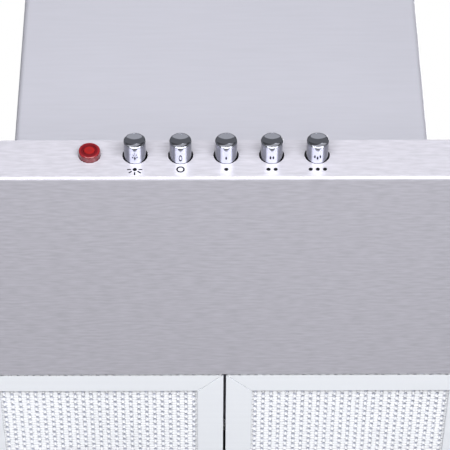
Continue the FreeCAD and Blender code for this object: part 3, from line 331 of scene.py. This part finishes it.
STEEL = brushed("brushed_stainless", (0.45, 0.441, 0.493), 0.36, (230, 1400, 1400), 0.10,
                0.35, 0.3)
SATIN = brushed("satin_stainless", (0.45, 0.45, 0.508), 0.42, (60, 60, 900), 0.02, 0.05, 0.3)
FRAME_METAL = brushed("filter_frame_metal", (0.90, 0.925, 0.975), 0.40, (8, 700, 700), 0.012,
                      0.05, 0.35)
SHAFT = brushed("ground_shaft", (0.60, 0.60, 0.62), 0.2, (1200, 20, 20), 0.03, 0.1)
ZINC = galvanised("galvanised_sheet")
CHROME = polished("button_chrome", (0.50, 0.515, 0.59), 0.06)
SATIN_CHROME = plain_metal("satin_chrome", (0.74, 0.74, 0.76), 0.26)
SPRING = plain_metal("spring_wire", (0.55, 0.55, 0.57), 0.25)
SCREW = plain_metal("screw_zinc", (0.66, 0.67, 0.68), 0.28)
MESH_METAL = plain_metal("filter_mesh_metal", (0.66, 0.67, 0.70), 0.38, 0.03, 0.35)
# Inner sheets: the same aluminium as the outer sheet, painted darker and bluer as painted shade
# for what shows through the outer sheet's holes.
SHADED_INNER_MESH = plain_metal("inner_mesh_painted_shade", (0.50, 0.52, 0.61), 0.45, 0.06, 0.35)
BLACK = moulded("black_moulding", (0.022, 0.022, 0.025), 0.45)
GREY = moulded("grey_moulding", (0.24, 0.25, 0.27), 0.42)
WHITE = moulded("white_moulding", (0.82, 0.82, 0.80), 0.4, 0.03)
MOTOR_PAINT = moulded("motor_paint", (0.05, 0.05, 0.055), 0.38)
LED = moulded("led_phosphor", (0.90, 0.72, 0.20), 0.4, 0.05)
RED = clear_red("pilot_red", middle("pilot_lens"), 5.8 * MM)
GLASS = frosted_glass("frosted_glass")
INK = printed_ink("symbol_ink")


# ---- shaping ------------------------------------------------------------------------------

def soften(bm):
    """Smooth shading with sharp edges kept where the surface turns."""
    for face in bm.faces:
        face.smooth = True
    for edge in bm.edges:
        edge.smooth = edge.is_manifold and edge.calc_face_angle(math.pi) < SHARP


def piece(name, bm, material, body, slot, *nodes):
    """Put a finished shape on a body, standing for the CAD nodes given."""
    soften(bm)
    mesh = bpy.data.meshes.new(name)
    bm.to_mesh(mesh)
    bm.free()
    mesh.materials.append(material)
    obj = bpy.data.objects.new(name, mesh)
    bpy.context.scene.collection.objects.link(obj)
    weighted = obj.modifiers.new("normals", "WEIGHTED_NORMAL")
    weighted.keep_sharp = True
    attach(obj, body)
    if nodes:
        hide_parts(*nodes)
    return obj


def refinish(node, material):
    """Give a CAD node that is already right its finish."""
    mesh = NODES[node].data
    mesh.materials.clear()
    mesh.materials.append(material)


def dressed(node, material, slot):
    """A merged, smoothly shaded copy of a curved CAD node."""
    bm = bmesh.new()
    bm.from_mesh(NODES[node].data)
    bmesh.ops.remove_doubles(bm, verts=bm.verts, dist=2e-6)
    return piece(f"{node}_skin", bm, material, NODES[node]["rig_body"], slot, node)


TO_AXIS = {
    "z": Matrix.Identity(4),
    "-y": Matrix.Rotation(math.radians(90), 4, "X"),
    "x": Matrix.Rotation(math.radians(90), 4, "Y"),
    "-x": Matrix.Rotation(math.radians(-90), 4, "Y"),
    "y": Matrix.Rotation(math.radians(-90), 4, "X"),
    "-z": Matrix.Rotation(math.radians(180), 4, "X"),
}


def lathe(profile, steps=64, closed=False):
    """Turn (radius, height) pairs about Z. A closed profile makes a ring."""
    bm = bmesh.new()
    verts = [bm.verts.new((radius, 0, height)) for radius, height in profile]
    following = verts[1:] + verts[:1] if closed else verts[1:]
    edges = [bm.edges.new(pair) for pair in zip(verts, following)]
    bmesh.ops.spin(bm, geom=verts + edges, cent=(0, 0, 0), axis=(0, 0, 1),
                   angle=math.tau, steps=steps, use_merge=True)
    bmesh.ops.remove_doubles(bm, verts=bm.verts, dist=WELD)
    bmesh.ops.recalc_face_normals(bm, faces=bm.faces)
    return bm


def arc(centre, radius, start, end, steps):
    """Points on an arc in the profile plane, angles in degrees."""
    turns = [math.radians(start + (end - start) * n / steps) for n in range(steps + 1)]
    return [(centre[0] + radius * math.cos(t), centre[1] + radius * math.sin(t)) for t in turns]


def placed(bm, axis, at):
    """Turn a Z-up shape onto an axis and move it to its place."""
    bmesh.ops.transform(bm, matrix=Matrix.Translation(at) @ TO_AXIS[axis], verts=bm.verts)
    return bm


def block(low, high, edge=0.0, segments=2):
    """A block between two corners with rounded edges."""
    bm = bmesh.new()
    bmesh.ops.create_cube(bm, size=1)
    size = Vector(high) - Vector(low)
    bmesh.ops.scale(bm, vec=size, verts=bm.verts)
    bmesh.ops.translate(bm, vec=(Vector(low) + Vector(high)) / 2, verts=bm.verts)
    if edge:
        bmesh.ops.bevel(bm, geom=bm.edges, offset=edge, segments=segments, affect="EDGES",
                        profile=0.5, material=-1)
    return bm


def gathered(*shapes):
    """Several shapes as one mesh."""
    whole = bmesh.new()
    for shape in shapes:
        scratch = bpy.data.meshes.new("scratch")
        shape.to_mesh(scratch)
        shape.free()
        whole.from_mesh(scratch)
        bpy.data.meshes.remove(scratch)
    return whole


# ---- controls -----------------------------------------------------------------------------

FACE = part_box("canopy_shell")[0].y


def push_button(name):
    """Chrome cap with a thin bright rim round its dished end, and its stem with a snap ring."""
    low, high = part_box(f"button_{name}")
    centre = (low + high) / 2
    radius = (high.x - low.x) / 2
    tip = FACE - low.y
    end = FACE - high.y
    cap_back, stem, broken = -3 * MM, 2.0 * MM, 0.3 * MM
    dish_rim, dish_deep = radius - 0.65 * MM, 1.15 * MM
    rim, rounding = 0.1 * MM, 0.52 * MM
    ring, ring_front = 3.4 * MM, -16.3 * MM
    ring_back = ring_front - 1.2 * MM
    dish = [(dish_rim * n / 8, tip - dish_deep * (1 - (n / 8) ** 2)) for n in range(9)]
    edge = arc((dish_rim + rim, tip - rim), rim, 130, 90, 2)
    edge += arc((radius - rounding, tip - rounding), rounding, 80, 0, 5)
    profile = dish + edge + [
        (radius, cap_back + broken), (radius - broken, cap_back), (stem, cap_back),
        (stem, ring_front), (ring, ring_front), (ring, ring_back), (stem, ring_back),
        (stem, end + broken), (stem - broken, end), (0, end),
    ]
    bm = placed(lathe(profile, 72), "-y", (centre.x, FACE, centre.z))
    piece(f"button_cap_{name}", bm, CHROME, f"button_{name}", "button_chrome", f"button_{name}")


def coil(radius, wire, length, turns, sides=8, steps=20):
    """A compression spring along Z with its wire's centre on the given radius."""
    bm = bmesh.new()
    ring = bmesh.ops.create_circle(bm, segments=sides, radius=wire)
    bmesh.ops.rotate(bm, cent=(0, 0, 0), matrix=Matrix.Rotation(math.pi / 2, 3, "X"),
                     verts=ring["verts"])
    bmesh.ops.translate(bm, vec=(radius, 0, wire), verts=bm.verts)
    count = int(turns * steps)
    rise = (length - 2 * wire) / count
    bmesh.ops.spin(bm, geom=list(bm.verts) + list(bm.edges), cent=(0, 0, 0), axis=(0, 0, 1),
                   dvec=(0, 0, rise), angle=turns * math.tau, steps=count)
    bmesh.ops.holes_fill(bm, edges=bm.edges, sides=sides)
    bmesh.ops.recalc_face_normals(bm, faces=bm.faces)
    return bm


def spring_for(node, axis, turns):
    """A wire coil in the room that the CAD spring takes, on a mesh of its own."""
    low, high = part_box(node)
    length = high.y - low.y
    wire, slack = 0.3 * MM, 0.1 * MM
    bm = coil((high.x - low.x) / 2 - wire, wire, length, turns)
    start = low.y if axis == "y" else high.y
    centre = (low + high) / 2
    placed(bm, axis, (centre.x, start, centre.z))
    wire_coil = piece(f"{node}_wire", bm, SPRING, NODES[node]["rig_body"], "spring_steel", node)
    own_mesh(wire_coil)


def pilot_lens():
    """Red lens with a round edge, a groove round its centre, and a lip behind the sheet."""
    low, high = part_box("pilot_lens")
    centre = (low + high) / 2
    tip = FACE - low.y
    lip, back = (high.x - low.x) / 2, FACE - high.y
    radius, wall, edge = 5.7 * MM, 1.1 * MM, 0.6 * MM
    inner, inner_face, sheet = radius - wall, tip - 1.2 * MM, -0.8 * MM
    groove_out, groove_in, groove_floor = 3.75 * MM, 3.2 * MM, tip - 0.45 * MM
    profile = [
        (0, tip), (groove_in - 0.3 * MM, tip - 0.06 * MM), (groove_in, groove_floor),
        (groove_out, groove_floor), (groove_out + 0.25 * MM, tip - 0.05 * MM),
        (radius - edge, tip),
    ]
    profile += arc((radius - edge, tip - edge), edge, 75, 0, 5)
    profile += [(radius, sheet), (lip, sheet), (lip, back), (inner, back), (inner, inner_face),
                (0, inner_face)]
    bm = placed(lathe(profile, 64), "-y", (centre.x, FACE, centre.z))
    piece("pilot_lens_red", bm, RED, "canopy", "pilot_red", "pilot_lens")


SYMBOL_Z = 6.55 * MM
INK_THICK = 0.05 * MM
INK_BACK = FACE - 0.005 * MM


def ink_disc(x, z, radius, hole=0.0):
    """A printed dot, or a ring if it has a hole."""
    if hole:
        profile = [(radius, 0), (radius, INK_THICK), (hole, INK_THICK), (hole, 0)]
        bm = lathe(profile, 40, closed=True)
    else:
        bm = lathe([(0, 0), (radius, 0), (radius, INK_THICK), (0, INK_THICK)], 32)
    return placed(bm, "-y", (x, INK_BACK, z))


def ink_ray(x, z, angle, start, length, width):
    """A printed stroke that points away from a centre."""
    bm = block((start, -width / 2, 0), (start + length, width / 2, INK_THICK))
    bmesh.ops.rotate(bm, cent=(0, 0, 0), matrix=Matrix.Rotation(math.radians(angle), 3, "Z"),
                     verts=bm.verts)
    return placed(bm, "-y", (x, INK_BACK, z))


def symbols():
    """A sun for the light, a ring for off, and one, two and three dots for the speeds."""
    dot, gap = 1.12 * MM, 3.75 * MM
    ray_start, ray_long, ray_wide = 1.9 * MM, 2.1 * MM, 0.7 * MM
    ring, ring_hole = 2.2 * MM, 1.4 * MM
    x_of = {name: middle(f"button_{name}").x for name in BUTTONS}
    rays = [ink_ray(x_of["light"], SYMBOL_Z, angle, ray_start, ray_long, ray_wide)
            for angle in (180, 218, 270, 322, 0)]
    shapes = {
        "light": [ink_disc(x_of["light"], SYMBOL_Z, dot)] + rays,
        "off": [ink_disc(x_of["off"], SYMBOL_Z, ring, ring_hole)],
    }
    for count, name in enumerate(("low", "medium", "high"), 1):
        first = x_of[name] - gap * (count - 1) / 2
        shapes[name] = [ink_disc(first + gap * n, SYMBOL_Z, dot) for n in range(count)]
    for name, parts in shapes.items():
        piece(f"symbol_{name}", gathered(*parts), INK, "canopy", "black_plastic")


# ---- grease filters -----------------------------------------------------------------------

FACE_WIDTH = 15 * MM


def frame_member(length, thick, mitre_gap, set_back):
    """One side of a filter frame along X: a channel with mitred ends, its thin lip near y = 0."""
    wall, lip, hem, broken = 0.8 * MM, 6.0 * MM, 0.45 * MM, 0.2 * MM
    inside = thick - wall
    section = [(lip, 1.1 * MM), (set_back + 0.5 * MM, 0.3 * MM), (set_back, 0)]
    section += arc((FACE_WIDTH - hem, hem), hem, 270, 450, 6)
    section += [
        (lip + wall, 2 * hem), (lip + wall, inside), (FACE_WIDTH, inside), (FACE_WIDTH, thick),
        (broken, thick), (0, thick - broken), (0, inside), (lip, inside),
    ]
    bm = bmesh.new()
    loops = []
    for end in (0, 1):
        verts = []
        for inset, z in section:
            x = inset + mitre_gap if end == 0 else length - inset - mitre_gap
            verts.append(bm.verts.new((x, inset, z)))
        loops.append([bm.edges.new(pair) for pair in zip(verts, verts[1:] + verts[:1])])
        bm.faces.new(verts)
    bmesh.ops.bridge_loops(bm, edges=loops[0] + loops[1])
    bmesh.ops.recalc_face_normals(bm, faces=bm.faces)
    return bm


def filter_frame(side):
    """Four mitred members and the two tabs that hang on the opening's lip."""
    node = f"filter_frame_{side}"
    low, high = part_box(node)
    tab_long, tab_half, tab_inset = 6 * MM, 8 * MM, 26 * MM
    front = low.y + tab_long
    width, depth, thick = high.x - low.x, high.y - front, high.z
    mitre_gap, front_set_back = 0.3 * MM, 0.5 * MM
    members = []
    corners = (
        (width, (low.x, front), 0), (depth, (high.x, front), 90),
        (width, (high.x, high.y), 180), (depth, (low.x, high.y), 270),
    )
    for length, corner, angle in corners:
        bm = frame_member(length, thick, mitre_gap, front_set_back if angle == 0 else 0)
        turn = Matrix.Rotation(math.radians(angle), 4, "Z")
        bmesh.ops.transform(bm, matrix=Matrix.Translation((*corner, 0)) @ turn, verts=bm.verts)
        members.append(bm)
    for x in (low.x + tab_inset, high.x - tab_inset):
        members.append(block((x - tab_half, low.y, 1.1 * MM),
                             (x + tab_half, front + 0.8 * MM, 1.9 * MM), 0.3 * MM))
    piece(f"{node}_mitred", gathered(*members), FRAME_METAL, f"filter_{side}",
          "filter_aluminium", node)


COLUMN, ROW = 4.6 * MM, 2.4 * MM
RIBBON_WIDE, RIBBON_THICK, RIBBON_TILT = 1.52 * MM, 0.34 * MM, math.radians(38)
BEND_REACH, BEND_FLAT, BEND_HIGH = 1.2 * MM, 0.3 * MM, 0.47 * ROW

# Height of each layer, and how far it is shifted to the side and to the back.
LAYERS = ((1.9 * MM, 0, 0), (3.1 * MM, COLUMN / 2, 0.4 * MM), (6.6 * MM, 0, 1.1 * MM))


def ribbon(columns, flip):
    """A tilted ribbon of expanded metal along X, bent up or down in turn at every column."""
    bm = block((0, -RIBBON_WIDE / 2, -RIBBON_THICK / 2),
               (columns * COLUMN, RIBBON_WIDE / 2, RIBBON_THICK / 2))
    bmesh.ops.rotate(bm, cent=(0, 0, 0), matrix=Matrix.Rotation(-RIBBON_TILT, 3, "X"),
                     verts=bm.verts)
    for column in range(columns):
        peak = (column + 0.5) * COLUMN
        for cut in (-BEND_REACH, -BEND_FLAT, BEND_FLAT, BEND_REACH):
            bmesh.ops.bisect_plane(bm, geom=bm.verts[:] + bm.edges[:] + bm.faces[:],
                                   plane_co=(peak + cut, 0, 0), plane_no=(1, 0, 0), dist=WELD)
        bend = BEND_HIGH if (column % 2 == 0) != flip else -BEND_HIGH
        bent = [vert for vert in bm.verts if abs(vert.co.x - peak) < (BEND_FLAT + BEND_REACH) / 2]
        bmesh.ops.translate(bm, vec=(0, bend, 0), verts=bent)
    return bm


def mesh_layer(x, columns, front, rear, height):
    """Ribbons side by side, each one bent against the next."""
    bm = bmesh.new()
    for flip in (False, True):
        scratch = bpy.data.meshes.new("scratch")
        shape = ribbon(columns, flip)
        shape.to_mesh(scratch)
        shape.free()
        y = front + (ROW if flip else 0)
        while y < rear:
            count = len(bm.verts)
            bm.from_mesh(scratch)
            bm.verts.ensure_lookup_table()
            bmesh.ops.translate(bm, vec=(x, y, height), verts=bm.verts[count:])
            y += 2 * ROW
        bpy.data.meshes.remove(scratch)
    return bm


def filter_mesh(side):
    """Stack of three expanded sheets, the outer one in full view under the frame's hem."""
    node = f"filter_mesh_{side}"
    low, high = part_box(node)
    columns = int((high.x - low.x) / COLUMN)
    x = (low.x + high.x - columns * COLUMN) / 2
    front, rear = low.y + 1.2 * MM, high.y - 1 * MM
    for number, (height, aside, shift) in enumerate(LAYERS):
        bm = mesh_layer(x + aside, columns - (1 if aside else 0), front + shift, rear, height)
        cut_out(bm, side)
        nodes = (node,) if number == 0 else ()
        # inner sheets take the darker finish: painted shade behind the outer sheet's holes
        metal = SHADED_INNER_MESH if number else MESH_METAL
        piece(f"{node}_sheet_{number + 1}", bm, metal, f"filter_{side}", "mesh_aluminium", *nodes)


def cut_out(bm, side):
    """Leave the room of the latch cup, and of the latch behind it, free of mesh."""
    low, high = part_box(f"latch_cup_{side}")
    tongue_low, tongue_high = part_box(f"filter_latch_{side}")
    room, around, tongue_long = 0.4 * MM, 8 * MM, 30 * MM
    for (x0, x1), (y0, y1) in (
        ((low.x - room, high.x + room), (low.y - room, high.y + room)),
        ((tongue_low.x - room, tongue_high.x + room), (high.y, high.y + tongue_long)),
    ):
        def within(face, margin):
            spot = face.calc_center_median()
            return (x0 - margin < spot.x < x1 + margin
                    and y0 - margin < spot.y < y1 + margin)

        for point, normal in (((x0, 0, 0), (1, 0, 0)), ((x1, 0, 0), (1, 0, 0)),
                              ((0, y0, 0), (0, 1, 0)), ((0, y1, 0), (0, 1, 0))):
            near = [face for face in bm.faces if within(face, around)]
            parts = near + list({edge for face in near for edge in face.edges})
            parts += list({vert for face in near for vert in face.verts})
            bmesh.ops.bisect_plane(bm, geom=parts, plane_co=point, plane_no=normal, dist=WELD)
        doomed = [face for face in bm.faces if within(face, 0)]
        bmesh.ops.delete(bm, geom=doomed, context="FACES")
    bmesh.ops.holes_fill(bm, edges=[edge for edge in bm.edges if edge.is_boundary], sides=0)


def latch(side):
    """Moulded cup and a sliding latch with a ribbed finger grip."""
    dressed(f"latch_cup_{side}", GREY, "grey_plastic")
    node = f"filter_latch_{side}"
    low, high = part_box(node)
    inset, grip_thick = 1 * MM, 3.2 * MM
    rib_pitch, rib_half, rib_sunk, rib_proud = 2.3 * MM, 0.4 * MM, 0.3 * MM, 0.3 * MM
    plate_z = high.z - 1.8 * MM
    grip_front = low.y + inset
    grip_back = grip_front + grip_thick
    plate = block((low.x, low.y, plate_z), high, 0.35 * MM)
    grip = block((low.x + inset, grip_front, low.z),
                 (high.x - inset, grip_back, plate_z + 0.6 * MM), 0.6 * MM, 3)
    ribs = []
    for number in range(-3, 4):
        rib_x = (low.x + high.x) / 2 + number * rib_pitch
        ribs.append(block((rib_x - rib_half, grip_back - rib_sunk, low.z + 0.4 * MM),
                          (rib_x + rib_half, grip_back + rib_proud, plate_z), 0.15 * MM))
    piece(f"{node}_grip", gathered(plate, grip, *ribs), GREY, f"latch_{side}", "grey_plastic",
          node)
    spring_for(f"latch_spring_{side}", "y", 7)


# ---- lamps --------------------------------------------------------------------------------

def lamp(side):
    """Turned bezel, etched glass, and a board with a ring of lamp chips."""
    low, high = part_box(f"lamp_bezel_{side}")
    centre = (low + high) / 2
    at = (centre.x, centre.y, 0)
    outer, inner, spigot, under = (high.x - low.x) / 2, 27 * MM, 29.9 * MM, -low.z
    edge, lip = 1.2 * MM, 0.8 * MM
    profile = [(inner, -high.z), (spigot, -high.z), (spigot, 0), (outer, 0)]
    profile += arc((outer - edge, under - edge), edge, 0, 90, 6)
    profile += arc((inner + 1.5 * MM, under - lip), lip, 90, 170, 5)
    profile += [(inner, under - 2 * lip)]
    bm = placed(lathe(profile, 96, closed=True), "-z", at)
    piece(f"lamp_bezel_{side}_turned", bm, SATIN_CHROME, "canopy", "bezel_metal",
          f"lamp_bezel_{side}")
    low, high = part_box(f"lamp_glass_{side}")
    face, crown, crown_radius, glass_radius = -low.z, 0.3 * MM, 26 * MM, 26.9 * MM
    profile = [(0, face)]
    profile += [(radius * MM, face - (radius * MM / crown_radius) ** 4 * crown)
                for radius in (8, 14, 19, 23, 26)]
    profile += [(glass_radius, face - 0.8 * MM), (glass_radius, -high.z), (0, -high.z)]
    bm = placed(lathe(profile, 96), "-z", at)
    piece(f"lamp_glass_{side}_etched", bm, GLASS, "canopy", "lamp_glass", f"lamp_glass_{side}")
    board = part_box(f"lamp_board_{side}")[0].z
    count, ring, half, thick = 12, 15 * MM, 1.4 * MM, 0.9 * MM
    chips = []
    for number in range(count):
        turn = math.tau * number / count
        x, y = centre.x + ring * math.cos(turn), centre.y + ring * math.sin(turn)
        chips.append(block((x - half, y - half, board - thick), (x + half, y + half, board),
                           0.2 * MM))
    piece(f"lamp_chips_{side}", gathered(*chips), LED, "canopy", "lamp_white")


# ---- blower details -----------------------------------------------------------------------

def screw_head(at, axis, radius, thick):
    """Pan head with a cross recess: a square grid drawn to a circle, its cross pressed in."""
    cells, bulge = 5, 1.06
    bm = bmesh.new()
    bmesh.ops.create_grid(bm, x_segments=cells, y_segments=cells, size=radius)
    for vert in bm.verts:
        reach = max(abs(vert.co.x), abs(vert.co.y))
        if reach > 0.9 * radius:
            vert.co = vert.co.normalized() * radius
    step = 2 * radius / cells
    cross = []
    for face in bm.faces:
        x, y = face.calc_center_median().xy
        column, row = round(x / step), round(y / step)
        if (column == 0 and abs(row) <= 1) or (row == 0 and abs(column) <= 1):
            cross.append(face)
    rim = [edge for edge in bm.edges if edge.is_boundary]
    pressed = bmesh.ops.extrude_face_region(bm, geom=cross)["geom"]
    sunk = [item for item in pressed if isinstance(item, bmesh.types.BMVert)]
    bmesh.ops.scale(bm, vec=(0.8, 0.8, 1), verts=sunk)
    bmesh.ops.translate(bm, vec=(0, 0, -0.5 * thick), verts=sunk)
    bmesh.ops.delete(bm, geom=cross, context="FACES")
    for drop, grow in ((0.25 * thick, bulge), (0.75 * thick, 1)):
        walls = bmesh.ops.extrude_edge_only(bm, edges=rim)["geom"]
        rim = [item for item in walls if isinstance(item, bmesh.types.BMEdge)]
        verts = list({vert for edge in rim for vert in edge.verts})
        bmesh.ops.translate(bm, vec=(0, 0, -drop), verts=verts)
        bmesh.ops.scale(bm, vec=(grow, grow, 1), verts=verts)
    bmesh.ops.scale(bm, vec=(1 / bulge, 1 / bulge, 1), verts=bm.verts)
    bmesh.ops.contextual_create(bm, geom=rim)
    bmesh.ops.recalc_face_normals(bm, faces=bm.faces)
    return placed(bm, axis, at)


def islands(node):
    """Boxes of the separate solids in a CAD node."""
    bm = bmesh.new()
    bm.from_mesh(NODES[node].data)
    bmesh.ops.remove_doubles(bm, verts=bm.verts, dist=1e-6)
    left, boxes = set(bm.verts), []
    while left:
        front, corners = [left.pop()], []
        while front:
            vert = front.pop()
            corners.append(vert.co.copy())
            for edge in vert.link_edges:
                other = edge.other_vert(vert)
                if other in left:
                    left.discard(other)
                    front.append(other)
        boxes.append([Vector(pick(corner[n] for corner in corners) for n in range(3))
                      for pick in (min, max)])
    bm.free()
    return boxes


def screws(node, axis):
    """Pan-head screws with a cross recess and a threaded shank, their heads facing an axis."""
    radius, thick = 3 * MM, 1.6 * MM
    shank, pitch, plain, point, unthreaded = 1.5 * MM, 0.6 * MM, 0.4 * MM, 0.4 * MM, 1.2 * MM
    core, under_head = shank * 0.8, -thick + 0.05 * MM
    shapes = []
    for low, high in islands(node):
        facing = axis
        if axis == "sides":
            facing = "-x" if low.x < 0 else "x"
        at = (low + high) / 2
        along = "xyz".index(facing[-1])
        at[along] = (low if facing[0] == "-" else high)[along]
        length = (high - low)[along]
        shapes.append(screw_head(at, facing, radius, thick))
        profile = [(0, under_head), (shank, under_head)]
        for turn in range(int((length - thick - unthreaded) / pitch)):
            root = -thick - plain - turn * pitch
            profile += [(core, root), (shank, root - pitch / 2)]
        profile += [(core, point - length), (0, -length)]
        shapes.append(placed(lathe(profile, 24), facing, at))
    piece(f"{node}_cross", gathered(*shapes), SCREW, NODES[node]["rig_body"], "screw_steel", node)


def plain_finishes():
    """Nodes whose CAD shape is right: flat ones stay, curved ones get smooth shading."""
    flat = {
        "canopy_top_panel": STEEL, "blower_housing": ZINC, "switch_bracket": ZINC,
        "wall_bracket": ZINC, "chimney_bracket": ZINC, "control_box": BLACK,
        "control_box_lid": BLACK,
    }
    for node, material in flat.items():
        refinish(node, material)
    curved = {
        "canopy_shell": (STEEL, "stainless"), "duct_cover_lower": (SATIN, "stainless"),
        "duct_cover_upper": (SATIN, "stainless"), "switch_block": (BLACK, "black_plastic"),
        "pilot_lamp": (WHITE, "lamp_white"), "scroll_left": (BLACK, "black_plastic"),
        "scroll_right": (BLACK, "black_plastic"), "impeller": (BLACK, "black_plastic"),
        "motor_body": (MOTOR_PAINT, "motor_paint"), "motor_shaft": (SHAFT, "shaft_steel"),
        "motor_bracket": (ZINC, "galvanised"), "outlet_collar": (GREY, "grey_plastic"),
        "flap_front": (GREY, "grey_plastic"), "flap_rear": (GREY, "grey_plastic"),
        "flap_pin": (SHAFT, "shaft_steel"), "cable_gland": (BLACK, "black_plastic"),
        "capacitor": (GREY, "grey_plastic"), "terminal_block": (WHITE, "lamp_white"),
    }
    for node, (material, slot) in curved.items():
        dressed(node, material, slot)
    for side in SIDES:
        dressed(f"lamp_housing_{side}", GREY, "grey_plastic")
        dressed(f"lamp_board_{side}", WHITE, "lamp_white")


# ---- studio -------------------------------------------------------------------------------

FLOOR_Z, FLOOR_HALF = -3.2, 40
ROOM_LIGHT = 0.2
LIT_SPOT = Vector((0, -0.4, 0.05))

# Name, place, width, height and power of each soft box.
LIGHTS = (
    ("overhead", (0.3, -0.7, 2.2), 2.6, 0.7, 6),
    ("rear_fill", (0.5, 1.5, 1.9), 2.2, 1.4, 75),
    ("front_card", (0.0, -3.0, 0.55), 3.2, 1.3, 5.5),
    ("low_front", (0.15, -2.3, -1.0), 3.0, 1.4, 134),
)


def floor_paint():
    """Matt pale floor, evenly lit to the camera from above and clear from below."""
    paint = Finish("floor_paint", (0.84, 0.84, 0.85), 0.6)
    marks = paint.effect(MARKS, Patch_size=1.5)
    paint.tint(marks.outputs["Patches"], 0.98, 1.02)
    evenly = paint.node("ShaderNodeEmission")
    evenly.inputs["Color"].default_value = (0.84, 0.845, 0.86, 1)
    seen = paint.node("ShaderNodeLightPath")
    choice = paint.node("ShaderNodeMixShader")
    link = paint.tree.links.new
    link(seen.outputs["Is Camera Ray"], choice.inputs[0])
    link(paint.shader.outputs[0], choice.inputs[1])
    link(evenly.outputs[0], choice.inputs[2])
    above = paint.node("ShaderNodeMixShader")
    link(paint.node("ShaderNodeNewGeometry").outputs["Backfacing"], above.inputs[0])
    link(choice.outputs[0], above.inputs[1])
    link(paint.node("ShaderNodeBsdfTransparent").outputs[0], above.inputs[2])
    link(above.outputs[0], paint.tree.nodes["Material Output"].inputs["Surface"])
    return paint.material


def studio():
    """White backdrop, grey room, pale floor and large soft lights."""
    world = bpy.data.worlds.new("studio")
    bpy.context.scene.world = world
    world.use_nodes = True
    nodes, link = world.node_tree.nodes, world.node_tree.links.new
    room = nodes["Background"]
    room.inputs["Color"].default_value = (0.97, 0.98, 1.0, 1)
    room.inputs["Strength"].default_value = ROOM_LIGHT
    backdrop = nodes.new("ShaderNodeBackground")
    backdrop.inputs["Color"].default_value = (1, 1, 1, 1)
    seen = nodes.new("ShaderNodeLightPath")
    choice = nodes.new("ShaderNodeMixShader")
    link(seen.outputs["Is Camera Ray"], choice.inputs[0])
    link(room.outputs[0], choice.inputs[1])
    link(backdrop.outputs[0], choice.inputs[2])
    link(choice.outputs[0], nodes["World Output"].inputs["Surface"])
    bm = bmesh.new()
    bmesh.ops.create_grid(bm, x_segments=1, y_segments=1, size=FLOOR_HALF)
    bmesh.ops.translate(bm, vec=(0, 0, FLOOR_Z), verts=bm.verts)
    mesh = bpy.data.meshes.new("floor")
    bm.to_mesh(mesh)
    bm.free()
    floor = bpy.data.objects.new("floor", mesh)
    bpy.context.scene.collection.objects.link(floor)
    mesh.materials.append(floor_paint())
    for name, place, wide, high, power in LIGHTS:
        light = bpy.data.lights.new(name, "AREA")
        light.shape, light.size, light.size_y, light.energy = "RECTANGLE", wide, high, power
        holder = bpy.data.objects.new(name, light)
        bpy.context.scene.collection.objects.link(holder)
        holder.location = place
        aim = LIT_SPOT - Vector(place)
        holder.rotation_euler = aim.to_track_quat("-Z", "Y").to_euler()
    bpy.context.scene.view_settings.view_transform = "Standard"


def camera():
    """Long lens from below and in front, nearly in the hood's middle plane."""
    rise, yaw, roll = math.radians(42.136), math.radians(0.704), math.radians(0.6)
    distance, lens, sensor = 1.18726, 185.18, 36
    aim = Vector((-0.99 * MM, FACE, -32.77 * MM))
    forward = Vector((math.sin(yaw) * math.cos(rise), math.cos(yaw) * math.cos(rise),
                      math.sin(rise)))
    level = Vector((math.cos(yaw), -math.sin(yaw), 0))
    down = forward.cross(level)
    right = level * math.cos(roll) + down * math.sin(roll)
    up = level * math.sin(roll) - down * math.cos(roll)
    data = bpy.data.cameras.new("camera")
    data.lens, data.sensor_width, data.clip_end = lens, sensor, 30
    view = bpy.data.objects.new("camera", data)
    bpy.context.scene.collection.objects.link(view)
    place = aim - forward * distance
    view.matrix_world = Matrix.Translation(place) @ Matrix(
        (right, up, -forward)).transposed().to_4x4()
    bpy.context.scene.camera = view


def main():
    plain_finishes()
    for name in BUTTONS:
        push_button(name)
        spring_for(f"button_spring_{name}", "y", 4)
    pilot_lens()
    symbols()
    for node, axis in (("switch_screws", "-z"), ("blower_screws", "z"), ("cover_screws", "z"),
                       ("bracket_screws", "sides"), ("scroll_screw", "-x")):
        screws(node, axis)
    for side in SIDES:
        filter_frame(side)
        filter_mesh(side)
        latch(side)
        lamp(side)
    studio()
    camera()


main()
